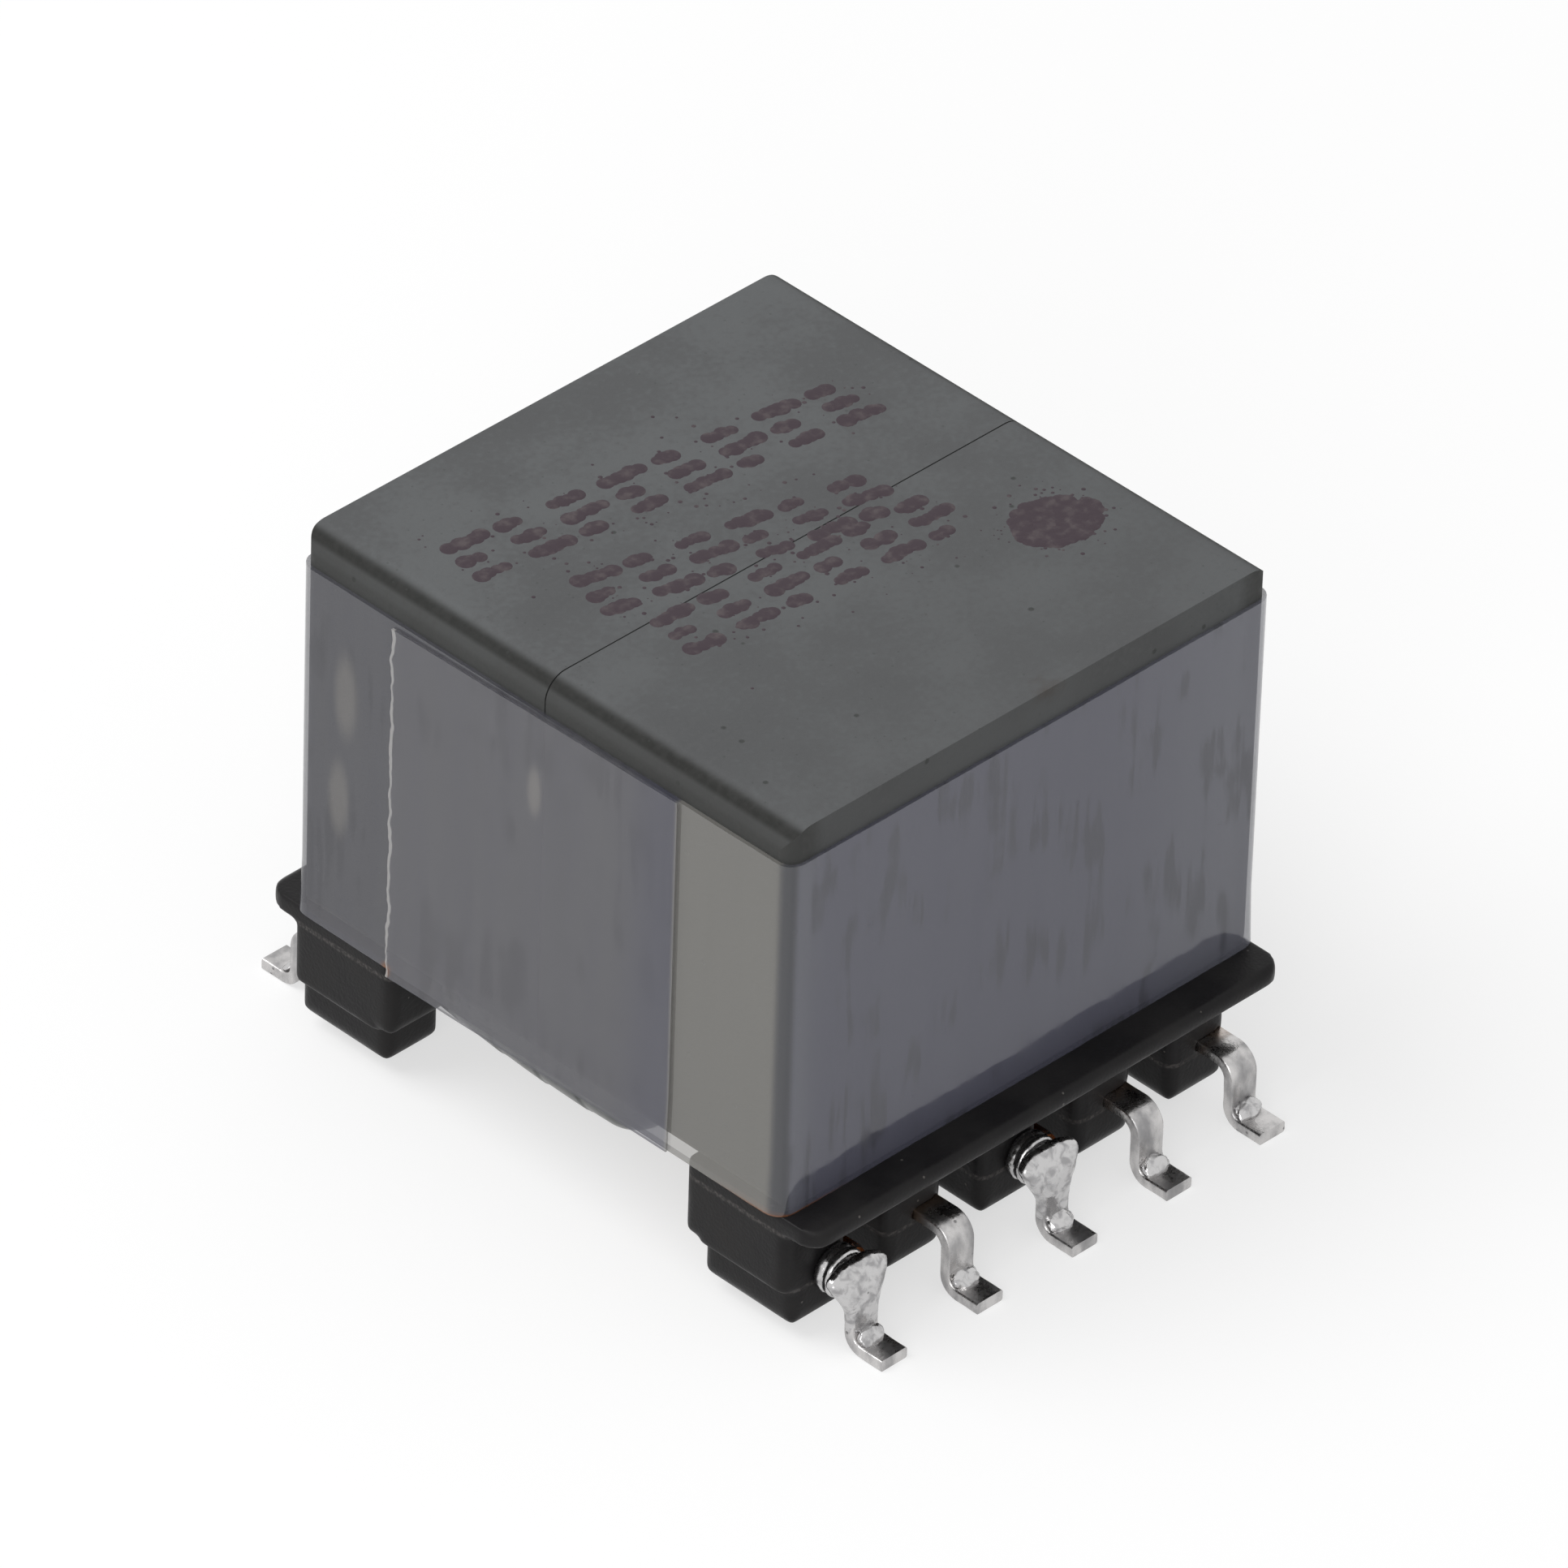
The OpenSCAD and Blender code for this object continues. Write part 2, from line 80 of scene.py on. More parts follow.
class Recipe:
    """A material's node tree on millimetre coordinates, with short calls for what the finishes share."""

    def __init__(self, name: str) -> None:
        """Starts an empty material.

        Args:
            name: The material's name.
        """
        self.material = bpy.data.materials.new(name)
        self.material.use_nodes = True
        self.tree = self.material.node_tree
        self.tree.nodes.clear()
        place = self.tree.nodes.new("ShaderNodeTexCoord")
        self.where = self.put("ShaderNodeMapping", {"Vector": place.outputs["Object"],
                                                    "Scale": (1 / MM,) * 3}).outputs["Vector"]
        self.facing = self.tree.nodes.new("ShaderNodeNewGeometry").outputs["Normal"]

    def put(self, kind: str, values: dict[Any, Any], **settings: Any) -> bpy.types.Node:
        """Adds a node.

        Args:
            kind: The node's type name.
            values: What goes into each input: a socket to link, or a plain value.
            settings: Attributes of the node itself.

        Returns:
            The new node.
        """
        node = self.tree.nodes.new(kind)
        for key, value in settings.items():
            setattr(node, key, value)
        for key, value in values.items():
            if isinstance(value, Socket):
                self.tree.links.new(value, node.inputs[key])
            else:
                node.inputs[key].default_value = value
        return node

    def speckle(self, per_mm: float, detail: float = 3.0, stretch: Triple = (1, 1, 1),
                twist: float = 0.0) -> Socket:
        """A soft noise over the surface.

        Args:
            per_mm: Cells to the millimetre.
            detail: How many finer layers lie on it.
            stretch: Scale along X, Y and Z, where a small number draws the noise out.
            twist: How far the noise is pulled about.

        Returns:
            The noise, about 0.3 to 0.7.
        """
        where = self.put("ShaderNodeMapping", {"Vector": self.where, "Scale": stretch}).outputs["Vector"]
        return self.put("ShaderNodeTexNoise", {"Vector": where, "Scale": per_mm, "Detail": detail,
                                               "Distortion": twist}).outputs["Fac"]

    def level(self, value: Any, low: float, high: float, start: float = 0.0,
              end: float = 1.0) -> Socket:
        """Maps a value from one range to another, smoothly and clamped.

        Args:
            value: The value.
            low: Where the range starts.
            high: Where it ends.
            start: What comes out at low.
            end: What comes out at high.

        Returns:
            The mapped value.
        """
        return self.put("ShaderNodeMapRange", {"Value": value, "From Min": low, "From Max": high,
                                               "To Min": start, "To Max": end},
                        interpolation_type="SMOOTHSTEP").outputs["Result"]

    def calc(self, rule: str, first: Any, second: Any = 0.0) -> Socket:
        """One sum of two numbers.

        Args:
            rule: The Math node's operation.
            first: The first number.
            second: The second number.

        Returns:
            The result.
        """
        return self.put("ShaderNodeMath", {0: first, 1: second}, operation=rule).outputs[0]

    def blend(self, share: Any, under: Any, over: Any) -> Socket:
        """Mixes two colours.

        Args:
            share: How much of the second colour shows.
            under: The first colour.
            over: The second colour.

        Returns:
            The mixed colour.
        """
        return self.put("ShaderNodeMix", {0: share, 6: under, 7: over}, data_type="RGBA").outputs[2]

    def tint(self, under: Any, over: Triple, share: Any, strength: float | None = None) -> Socket:
        """Lays one plain colour over another.

        Args:
            under: The colour so far.
            over: The colour laid over it, as eight-bit screen values.
            share: How much of it shows.
            strength: What the share is multiplied by, if anything.

        Returns:
            The mixed colour.
        """
        if strength is not None:
            share = self.calc("MULTIPLY", share, strength)
        return self.blend(share, under, tone(*over))

    def axes(self) -> tuple[Socket, ...]:
        """The place on the part along X, Y and Z, in millimetres."""
        return tuple(self.put("ShaderNodeSeparateXYZ", {0: self.where}).outputs)

    def faces(self) -> tuple[Socket, ...]:
        """How far the surface faces along X, Y and Z."""
        return tuple(self.put("ShaderNodeSeparateXYZ", {0: self.facing}).outputs)

    def near(self, centre: Triple, inside: float, outside: float,
             ragged: float = 0.0) -> Socket:
        """A round patch.

        Args:
            centre: Its middle, in millimetres.
            inside: The radius up to which it is full.
            outside: The radius at which it ends.
            ragged: How far its rim wanders, in millimetres.

        Returns:
            1 in the patch and 0 outside it.
        """
        away = self.put("ShaderNodeVectorMath", {0: self.where, 1: centre}, operation="DISTANCE")
        gap = away.outputs["Value"]
        if ragged:
            wander = self.calc("MULTIPLY_ADD", self.calc("SUBTRACT", self.speckle(2.2, 4), 0.5), 4 * ragged)
            gap = self.calc("ADD", gap, wander)
        return self.level(gap, inside, outside, 1.0, 0.0)

    def band(self, value: Any, middle: float, half: float, soft: float) -> Socket:
        """A stripe where a value is near a middle.

        Args:
            value: The value.
            middle: The stripe's middle.
            half: Half its width.
            soft: How far its edges fade.

        Returns:
            1 in the stripe and 0 outside it.
        """
        gap = self.calc("ABSOLUTE", self.calc("SUBTRACT", value, middle))
        return self.level(gap, half, half + soft, 1.0, 0.0)

    def relief(self, height: Any, depth_mm: float, under: Any = None) -> Socket:
        """A bump.

        Args:
            height: The height, 0 to 1.
            depth_mm: What a height of 1 comes to.
            under: A bump that this one lies on.

        Returns:
            The bent normal.
        """
        values = {"Height": height, "Distance": depth_mm * MM, "Strength": 1.0}
        if under is not None:
            values["Normal"] = under
        return self.put("ShaderNodeBump", values).outputs["Normal"]

    def pits(self, per_mm: float, size: float, share: float) -> Socket:
        """Scattered round pits.

        Args:
            per_mm: Cells to the millimetre, each of which may hold a pit.
            size: A pit's radius as a share of its cell.
            share: The share of cells that hold one.

        Returns:
            1 in a pit and 0 elsewhere.
        """
        cells = self.put("ShaderNodeTexVoronoi", {"Vector": self.where, "Scale": per_mm})
        pick = self.put("ShaderNodeSeparateXYZ", {0: cells.outputs["Color"]}).outputs[0]
        chosen = self.level(pick, 1 - share, 1 - share + 0.02)
        inside = self.level(cells.outputs["Distance"], size * 0.5, size, 1.0, 0.0)
        return self.calc("MULTIPLY", chosen, inside)

    def close(self, values: dict[Any, Any]) -> bpy.types.Material:
        """Ends the tree in a Principled shader.

        Args:
            values: What goes into the shader's inputs.

        Returns:
            The finished material.
        """
        shader = self.put("ShaderNodeBsdfPrincipled", values)
        self.put("ShaderNodeOutputMaterial", {"Surface": shader.outputs[0]})
        return self.material


@dataclass(frozen=True)
class Ferrite:
    """Sintered ferrite: matt green-grey with a fine grain, pits and a brown stain, with painted shade towards
    the front end, on the turned long edges and on side faces, and a painted shade line along the long edges.
    """

    light: Triple = (97, 99, 100)
    dark: Triple = (86, 87, 88)
    # front: the tone of the painted shade towards the core's front (−Y) end
    front: Triple = (78, 79, 80)
    # turned_shade: the dark tone of the painted shade on the turned long edges and on side and lower faces
    turned_shade: Triple = (44, 44, 41)
    # line: the tone of a painted shade line along the long edges
    line: Triple = (22, 22, 19)
    stain: Triple = (62, 50, 40)

    def make(self) -> bpy.types.Material:
        """Builds the material."""
        mix = Recipe("ferrite")
        x, y, z = mix.axes()
        _, _, up = mix.faces()
        grain = mix.speckle(7, 5)
        slow = mix.speckle(0.4, 3)
        colour = mix.blend(mix.level(mix.calc("ADD", grain, mix.calc("MULTIPLY", slow, 1.2)), 0.85, 1.35),
                           tone(*self.dark), tone(*self.light))
        # Painted shade: the whole core darkens towards its front (−Y) end, which faces away from the light.
        colour = mix.tint(colour, self.front, mix.level(y, -6.5, 5.0, 0.3, 0.0))
        # Painted shade: near the long edges, faces that turn away from up are darkened; the worn noise only
        # makes the shade's boundary ragged.
        long_edge = mix.level(mix.calc("ABSOLUTE", x), 5.3, 5.8)
        worn = mix.speckle(1.2, 4, (1, 0.5, 1))
        turned = mix.level(mix.calc("ADD", up, mix.calc("MULTIPLY", worn, 0.1)), 0.86, 1.04, 1.0, 0.0)
        colour = mix.tint(colour, self.turned_shade,
                          mix.calc("MULTIPLY", long_edge, mix.calc("MULTIPLY", turned, 0.6)))
        # Painted shade line: a thin dark stripe along the long edges where the rounded edge has turned
        # partway down.
        painted_shade_line = mix.calc("MULTIPLY", long_edge, mix.band(up, 0.72, 0.05, 0.22))
        colour = mix.tint(colour, self.line, painted_shade_line, 0.75)
        # Painted shade: side and lower faces are darkened by how far they face away from up.
        colour = mix.tint(colour, self.turned_shade, mix.level(up, 0.3, 0.0, 0.0, 0.3))
        pits = mix.pits(1.5, 0.11, 0.35)
        fine = mix.pits(5.0, 0.16, 0.3)
        colour = mix.tint(colour, (52, 54, 52), pits, 0.75)
        colour = mix.tint(colour, (60, 63, 61), fine, 0.35)
        stain = mix.near((0.34, -6.4, 11.75), 0.15, 1.0, 0.25)
        colour = mix.tint(colour, self.stain, stain, 0.7)
        rough = mix.level(grain, 0.3, 0.7, 0.62, 0.8)
        bent = mix.relief(mix.calc("SUBTRACT", grain, mix.calc("MULTIPLY", pits, 0.8)), 0.012)
        return mix.close({"Base Color": colour, "Roughness": rough, "Specular IOR Level": 0.25,
                          "Normal": bent})


@dataclass(frozen=True)
class MouldedBlack:
    """Black moulding plastic with a satin skin, flash marks, and light dust with a painted highlight on its
    rims.
    """

    base: Triple = (30, 29, 30)
    # dust_and_highlight: dust with a painted highlight, laid on the rim lines at z 1.2 and 2.6
    dust_and_highlight: Triple = (98, 94, 92)

    def make(self) -> bpy.types.Material:
        """Builds the material."""
        mix = Recipe("moulded_black")
        x, y, z = mix.axes()
        cloud = mix.speckle(1.1, 4)
        fine = mix.speckle(14, 3)
        colour = mix.blend(mix.level(cloud, 0.35, 0.7), tone(*self.base), tone(38, 37, 37))
        # Dust with a painted highlight: thin pale lines along the foot ledge at z 1.2 and the lip's lower
        # edge at z 2.6.
        rims = mix.calc("MAXIMUM", mix.band(z, 1.2, 0.02, 0.05), mix.band(z, 2.6, 0.02, 0.06))
        colour = mix.tint(colour, self.dust_and_highlight,
                          mix.calc("MULTIPLY", rims, mix.level(fine, 0.4, 0.7, 0.1, 0.55)))
        colour = mix.tint(colour, (120, 116, 112), mix.pits(3.0, 0.1, 0.25), 0.5)
        rough = mix.level(cloud, 0.3, 0.7, 0.3, 0.5)
        bent = mix.relief(mix.calc("ADD", fine, mix.calc("MULTIPLY", cloud, 2.0)), 0.006)
        return mix.close({"Base Color": colour, "Roughness": rough, "Specular IOR Level": 0.12,
                          "Normal": bent})


@dataclass(frozen=True)
class ClearTape:
    """Glossy clear polyester film: see-through, with smeared wear, a warm rim, a painted reflection with
    painted highlights on its front end face and a painted dark reflection at its front corner.
    """

    name: str = "clear_tape"
    film: Triple = (93, 93, 101)
    # end and glare: painted reflection tones for the front end face, glare being its painted highlight
    end: Triple = (107, 107, 124)
    glare: Triple = (126, 127, 139)
    pale: Triple = (150, 146, 142)
    shade: Triple = (74, 76, 98)
    worn: Triple = (76, 76, 84)
    warm: Triple = (144, 142, 137)
    # corner_dark_reflection: a painted dark reflection in the film's rounded front corner
    corner_dark_reflection: Triple = (58, 62, 76)
    amber: Triple = (150, 92, 48)
    tear: Triple = (200, 198, 196)
    torn: bool = False

    def make(self) -> bpy.types.Material:
        """Builds the material."""
        mix = Recipe(self.name)
        x, y, z = mix.axes()
        smear = mix.speckle(2.4, 4, (1, 1, 0.07))
        broad = mix.speckle(0.5, 2, (1, 1, 0.2))
        scuffs = mix.level(mix.calc("MULTIPLY", mix.speckle(3.5, 5, (1, 1, 0.1), 0.4), mix.speckle(0.6, 3)),
                           0.27, 0.36)
        colour = mix.blend(mix.level(smear, 0.35, 0.75), tone(*self.film), tone(98, 98, 104))
        colour = mix.tint(colour, self.worn, scuffs, 0.6)
        # Painted reflection: the front end face is painted lighter and bluer, brightening into painted
        # highlights near the left corner and towards +X; the scuffs on it are real wear.
        end = mix.calc("MULTIPLY", mix.level(y, -6.3, -6.44), mix.level(x, -6.2, -6.0))
        face = mix.blend(mix.level(x, -5.2, -6.0), tone(*self.end), tone(*self.glare))
        face = mix.blend(mix.level(x, 1.5, 6.0), face, tone(*self.glare))
        face = mix.blend(mix.calc("MULTIPLY", scuffs, 0.55), face, tone(*self.worn))
        colour = mix.blend(end, colour, face)
        side = mix.level(x, -6.0, -6.2)
        front = mix.calc("MULTIPLY", side, mix.level(y, -3.5, -3.62))
        colour = mix.tint(colour, self.warm, front, 0.95)
        behind_warm = mix.calc("MULTIPLY", mix.level(y, -1.9, -3.3), mix.level(y, -3.62, -3.5))
        shade = mix.calc("MULTIPLY", side, behind_warm)
        colour = mix.tint(colour, self.shade, shade, 0.5)
        tall = mix.put("ShaderNodeMapping", {"Vector": mix.where, "Scale": (1, 1, 0.32)}).outputs["Vector"]
        bubbles = (((-6.3, 5.15, 2.75), 0.4), ((-6.3, 5.3, 1.98), 0.36), ((-6.34, 0.1, 2.95), 0.24))
        for middle, reach in bubbles:
            gap = mix.put("ShaderNodeVectorMath", {0: tall, 1: middle}, operation="DISTANCE").outputs["Value"]
            colour = mix.tint(colour, self.pale, mix.level(gap, reach * 0.4, reach, 0.55, 0.0))
        smudge = mix.near((-6.3, -5.1, 4.3), 0.1, 0.75, 0.2)
        colour = mix.tint(colour, self.worn,
                          mix.calc("MULTIPLY", smudge, mix.level(smear, 0.4, 0.6, 0.1, 0.6)))
        # Painted reflection: a bluish dark band down the rounded front-left corner.
        corner_reflection_mask = mix.calc("MULTIPLY", mix.level(x, -5.98, -6.14), mix.level(y, -6.1, -6.3))
        colour = mix.tint(colour, self.corner_dark_reflection, corner_reflection_mask, 0.75)
        hem = mix.calc("MULTIPLY", mix.level(z, 3.05, 3.0), mix.near((-6.28, -6.48, 3.0), 0.3, 2.0))
        colour = mix.tint(colour, self.amber,
                          mix.calc("MAXIMUM", hem, mix.near((-6.34, 3.9, 3.0), 0.05, 0.2)))
        if self.torn:
            along = mix.put("ShaderNodeUVMap", {}, uv_map="to_tear").outputs[0]
            gap = mix.put("ShaderNodeSeparateXYZ", {0: along}).outputs[0]
            ragged = mix.calc("MULTIPLY", mix.speckle(3.0, 4, (1, 1, 0.6)), 0.16)
            colour = mix.tint(colour, self.tear,
                              mix.level(mix.calc("SUBTRACT", gap, ragged), 0.0, -0.03), 0.8)
        rough = mix.level(smear, 0.45, 0.8, 0.06, 0.22)
        wave = mix.relief(broad, 0.05)
        bent = mix.relief(smear, 0.004, wave)
        return mix.close({"Base Color": colour, "Roughness": rough, "IOR": 1.8, "Alpha": 0.55,
                          "Normal": bent})


@dataclass(frozen=True)
class FilmBack:
    """The glue side of the clear film, which hardly shows."""

    def make(self) -> bpy.types.Material:
        """Builds the material."""
        mix = Recipe("clear_tape_back")
        glue = mix.speckle(2.0, 4)
        colour = mix.blend(glue, tone(190, 176, 160), tone(214, 204, 190))
        return mix.close({"Base Color": colour, "Roughness": mix.level(glue, 0.3, 0.7, 0.3, 0.5),
                          "Alpha": 0.06, "Normal": mix.relief(glue, 0.01)})


@dataclass(frozen=True)
class TinnedStrip:
    """Tin-plated strip: bright and satin, with copper showing at the roots and dull specks."""

    bright: Triple = (202, 200, 199)
    dull: Triple = (146, 145, 146)
    copper: Triple = (160, 134, 112)

    def make(self) -> bpy.types.Material:
        """Builds the material."""
        mix = Recipe("tinned_strip")
        x, y, z = mix.axes()
        cloud = mix.speckle(2.6, 5, (1, 1, 0.5))
        fine = mix.speckle(16, 3)
        colour = mix.blend(mix.level(cloud, 0.35, 0.7), tone(*self.bright), tone(*self.dull))
        root = mix.level(mix.calc("ABSOLUTE", y), 7.0, 6.6)
        colour = mix.tint(colour, self.copper,
                          mix.calc("MULTIPLY", root, mix.level(cloud, 0.3, 0.6, 0.2, 0.8)))
        specks = mix.pits(4.5, 0.2, 0.12)
        colour = mix.tint(colour, (90, 88, 90), specks, 0.7)
        rough = mix.level(mix.calc("ADD", cloud, mix.calc("MULTIPLY", fine, 0.4)), 0.5, 0.95, 0.2, 0.42)
        bent = mix.relief(mix.calc("ADD", mix.calc("MULTIPLY", fine, 0.3), cloud), 0.012)
        return mix.close({"Base Color": colour, "Metallic": 1.0, "Roughness": rough, "Normal": bent})


@dataclass(frozen=True)
class Solder:
    """Dipped solder: bright metal with a mottled, grainy skin."""

    bright: Triple = (196, 195, 195)
    grey: Triple = (158, 157, 158)

    def make(self) -> bpy.types.Material:
        """Builds the material."""
        mix = Recipe("solder")
        mottle = mix.speckle(5, 5, (1, 1, 1), 0.6)
        cells = mix.put("ShaderNodeTexVoronoi", {"Vector": mix.where, "Scale": 7.0}).outputs["Distance"]
        colour = mix.blend(mix.level(mottle, 0.42, 0.68), tone(*self.bright), tone(*self.grey))
        pores = mix.pits(6.0, 0.2, 0.1)
        colour = mix.tint(colour, (70, 68, 68), pores, 0.6)
        rough = mix.level(mottle, 0.35, 0.7, 0.14, 0.36)
        bent = mix.relief(mix.calc("ADD", mottle, mix.calc("MULTIPLY", cells, 0.3)), 0.014)
        return mix.close({"Base Color": colour, "Metallic": 1.0, "Roughness": rough, "Normal": bent})


@dataclass(frozen=True)
class Enamel:
    """Copper wire under clear enamel: warm, glossy and a little uneven."""

    light: Triple = (176, 104, 58)
    dark: Triple = (104, 50, 26)

    def make(self) -> bpy.types.Material:
        """Builds the material."""
        mix = Recipe("enamelled_copper")
        cloud = mix.speckle(3, 4)
        colour = mix.blend(mix.level(cloud, 0.35, 0.7), tone(*self.light), tone(*self.dark))
        rough = mix.level(cloud, 0.3, 0.7, 0.18, 0.34)
        return mix.close({"Base Color": colour, "Metallic": 0.85, "Roughness": rough,
                          "Coat Weight": 0.6, "Normal": mix.relief(cloud, 0.01)})


@dataclass(frozen=True)
class WrapFilm:
    """Coloured wrapping film round a coil or a lead bundle, with turns that show as fine lines."""

    name: str
    base: Triple
    deep: Triple
    gloss: float = 0.25

    def make(self) -> bpy.types.Material:
        """Builds the material."""
        mix = Recipe(self.name)
        _, y, _ = mix.axes()
        cloud = mix.speckle(1.3, 4)
        lines = mix.calc("SINE", mix.calc("MULTIPLY", y, 9.0))
        colour = mix.blend(mix.level(mix.calc("MULTIPLY", lines, 0.5), 0.3, 0.7), tone(*self.base),
                           tone(*self.deep))
        colour = mix.tint(colour, self.deep, mix.level(cloud, 0.35, 0.7))
        bent = mix.relief(mix.calc("ADD", cloud, mix.calc("MULTIPLY", lines, 0.15)), 0.02)
        return mix.close({"Base Color": colour, "Roughness": self.gloss, "IOR": 1.5, "Normal": bent})


@dataclass(frozen=True)
class Ink:
    """Printed marking ink: dark brown-violet, thin and blotched."""

    base: Triple = (62, 52, 58)
    thin: Triple = (84, 76, 78)

    def make(self) -> bpy.types.Material:
        """Builds the material."""
        mix = Recipe("marking_ink")
        blot = mix.speckle(4, 5)
        colour = mix.blend(mix.level(blot, 0.45, 0.75), tone(*self.base), tone(*self.thin))
        return mix.close({"Base Color": colour, "Roughness": 0.62, "Specular IOR Level": 0.25,
                          "Normal": mix.relief(blot, 0.01)})


# --------------------------------------------------------------------------- meshes


def paint(obj: bpy.types.Object, *materials: bpy.types.Material) -> None:
    """Gives a piece its materials, and keeps which face takes which.

    Args:
        obj: The piece.
        materials: Its materials, in the order of its faces' indices.
    """
    while len(obj.data.materials) < len(materials):
        obj.data.materials.append(None)
    for index, material in enumerate(materials):
        obj.data.materials[index] = material


def piece(name: str, mesh: bpy.types.Mesh, replaced: tuple[str, ...] = (),
          smooth: float | None = 40.0) -> bpy.types.Object:
    """Adds a mesh to the scene as a piece of the part.

    Args:
        name: The piece's name.
        mesh: Its mesh, in place.
        replaced: The CAD nodes that it stands for.
        smooth: The angle in degrees past which an edge stays sharp, or None for flat faces.

    Returns:
        The new object.
    """
    obj = bpy.data.objects.new(name, mesh)
    bpy.context.scene.collection.objects.link(obj)
    if smooth is not None:
        mesh.shade_smooth()
        mesh.set_sharp_from_angle(angle=math.radians(smooth))
    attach(obj, "root")
    if replaced:
        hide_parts(*replaced)
    log.info("%s: %d faces", name, len(mesh.polygons))
    return obj


def settle(obj: bpy.types.Object) -> bpy.types.Mesh:
    """Turns an object's evaluated shape into its plain mesh and takes its modifiers off.

    Args:
        obj: The object.

    Returns:
        The plain mesh.
    """
    bpy.context.view_layer.update()
    mesh = bpy.data.meshes.new_from_object(obj.evaluated_get(bpy.context.evaluated_depsgraph_get()))
    obj.modifiers.clear()
    obj.data = mesh
    return mesh


def merged(names: list[str]) -> bmesh.types.BMesh:
    """A welded copy of some CAD nodes' meshes.

    Args:
        names: The nodes.

    Returns:
        One bmesh with the copies.
    """
    shape = bmesh.new()
    for name in names:
        shape.from_mesh(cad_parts[name].data)
    bmesh.ops.remove_doubles(shape, verts=shape.verts, dist=1e-7)
    return shape


def finished(shape: bmesh.types.BMesh, name: str) -> bpy.types.Mesh:
    """Writes a bmesh to a new mesh and frees it.

    Args:
        shape: The bmesh.
        name: The mesh's name.

    Returns:
        The mesh.
    """
    mesh = bpy.data.meshes.new(name)
    shape.to_mesh(mesh)
    shape.free()
    return mesh


def remeshed(mesh: bpy.types.Mesh, voxel_mm: float, smoothing: int) -> bpy.types.Mesh:
    """Fuses a mesh's parts into one soft skin.

    Args:
        mesh: The mesh.
        voxel_mm: The skin's cell size.
        smoothing: How many rounds of smoothing it gets.

    Returns:
        The fused mesh.
    """
    obj = bpy.data.objects.new("fusing", mesh)
    bpy.context.scene.collection.objects.link(obj)
    fuse = obj.modifiers.new("fuse", "REMESH")
    fuse.mode = "VOXEL"
    fuse.voxel_size = voxel_mm * MM
    if smoothing:
        soften = obj.modifiers.new("soften", "SMOOTH")
        soften.iterations = smoothing
        soften.factor = 0.5
    result = settle(obj)
    bpy.data.objects.remove(obj)
    return result


class Grower:
    """A Geometry Nodes tree with named inputs, which turns a carrier mesh into a plain mesh."""

    def __init__(self, name: str) -> None:
        """Starts an empty tree.

        Args:
            name: The tree's name.
        """
        self.tree = bpy.data.node_groups.new(name, "GeometryNodeTree")
        for way in ("INPUT", "OUTPUT"):
            self.tree.interface.new_socket("Geometry", in_out=way, socket_type="NodeSocketGeometry")
        self.source = self.tree.nodes.new("NodeGroupInput")
        self.sink = self.tree.nodes.new("NodeGroupOutput")
        self.values: dict[str, Any] = {}

    def size(self, name: str, kind: str, value: Any) -> Socket:
        """Adds a named input.

        Args:
            name: The input's name.
            kind: Its socket type, such as Float or Material.
            value: What it is set to.

        Returns:
            The socket that gives the value inside the tree.
        """
        item = self.tree.interface.new_socket(name, in_out="INPUT", socket_type="NodeSocket" + kind)
        self.values[item.identifier] = value
        return next(s for s in self.source.outputs if s.identifier == item.identifier)

    def put(self, kind: str, values: dict[Any, Any], **settings: Any) -> bpy.types.Node:
        """Adds a node.

        Args:
            kind: The node's type name.
            values: What goes into each input: a socket to link, or a plain value.
            settings: Attributes of the node itself.

        Returns:
            The new node.
        """
        node = self.tree.nodes.new(kind)
        for key, value in settings.items():
            setattr(node, key, value)
        for key, value in values.items():
            if isinstance(value, Socket):
                self.tree.links.new(value, node.inputs[key])
            else:
                node.inputs[key].default_value = value
        return node

    def join(self, *parts: Socket) -> Socket:
        """Joins geometries.

        Args:
            parts: The geometries.

        Returns:
            The joined geometry.
        """
        node = self.tree.nodes.new("GeometryNodeJoinGeometry")
        for part in parts:
            self.tree.links.new(part, node.inputs[0])
        return node.outputs[0]

    def grow(self, carrier: bpy.types.Mesh, shape: Socket, material: Socket) -> bpy.types.Mesh:
        """Ends the tree in Realize Instances and Set Material, and runs it on a carrier.

        Args:
            carrier: The mesh that the tree starts from.
            shape: The geometry that the tree makes.
            material: The material input.

        Returns:
            The plain mesh.
        """
        real = self.put("GeometryNodeRealizeInstances", {0: shape})
        dressed = self.put("GeometryNodeSetMaterial", {"Geometry": real.outputs[0], "Material": material})
        self.tree.links.new(dressed.outputs[0], self.sink.inputs[0])
        obj = bpy.data.objects.new("carrier", carrier)
        bpy.context.scene.collection.objects.link(obj)
        modifier = obj.modifiers.new("grow", "NODES")
        modifier.node_group = self.tree
        for identifier, value in self.values.items():
            modifier[identifier] = value
        mesh = settle(obj)
        bpy.data.objects.remove(obj)
        return mesh


def polyline(points: list[Triple]) -> bpy.types.Mesh:
    """A carrier mesh of one open line.

    Args:
        points: The line's points, in millimetres.

    Returns:
        The mesh.
    """
    mesh = bpy.data.meshes.new("line")
    mesh.from_pydata([[c * MM for c in p] for p in points], [(i, i + 1) for i in range(len(points) - 1)], [])
    return mesh


# --------------------------------------------------------------------------- the part


@dataclass
class Core:
    """The two ferrite halves, glued face to face."""

    nodes: tuple[str, ...] = ("core_front", "core_rear")
    finish: Ferrite = field(default_factory=Ferrite)

    def dress(self) -> None:
        """Gives the halves their finish."""
        material = self.finish.make()
        for name in self.nodes:
            paint(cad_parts[name], material)
            log.info("%s dressed", name)


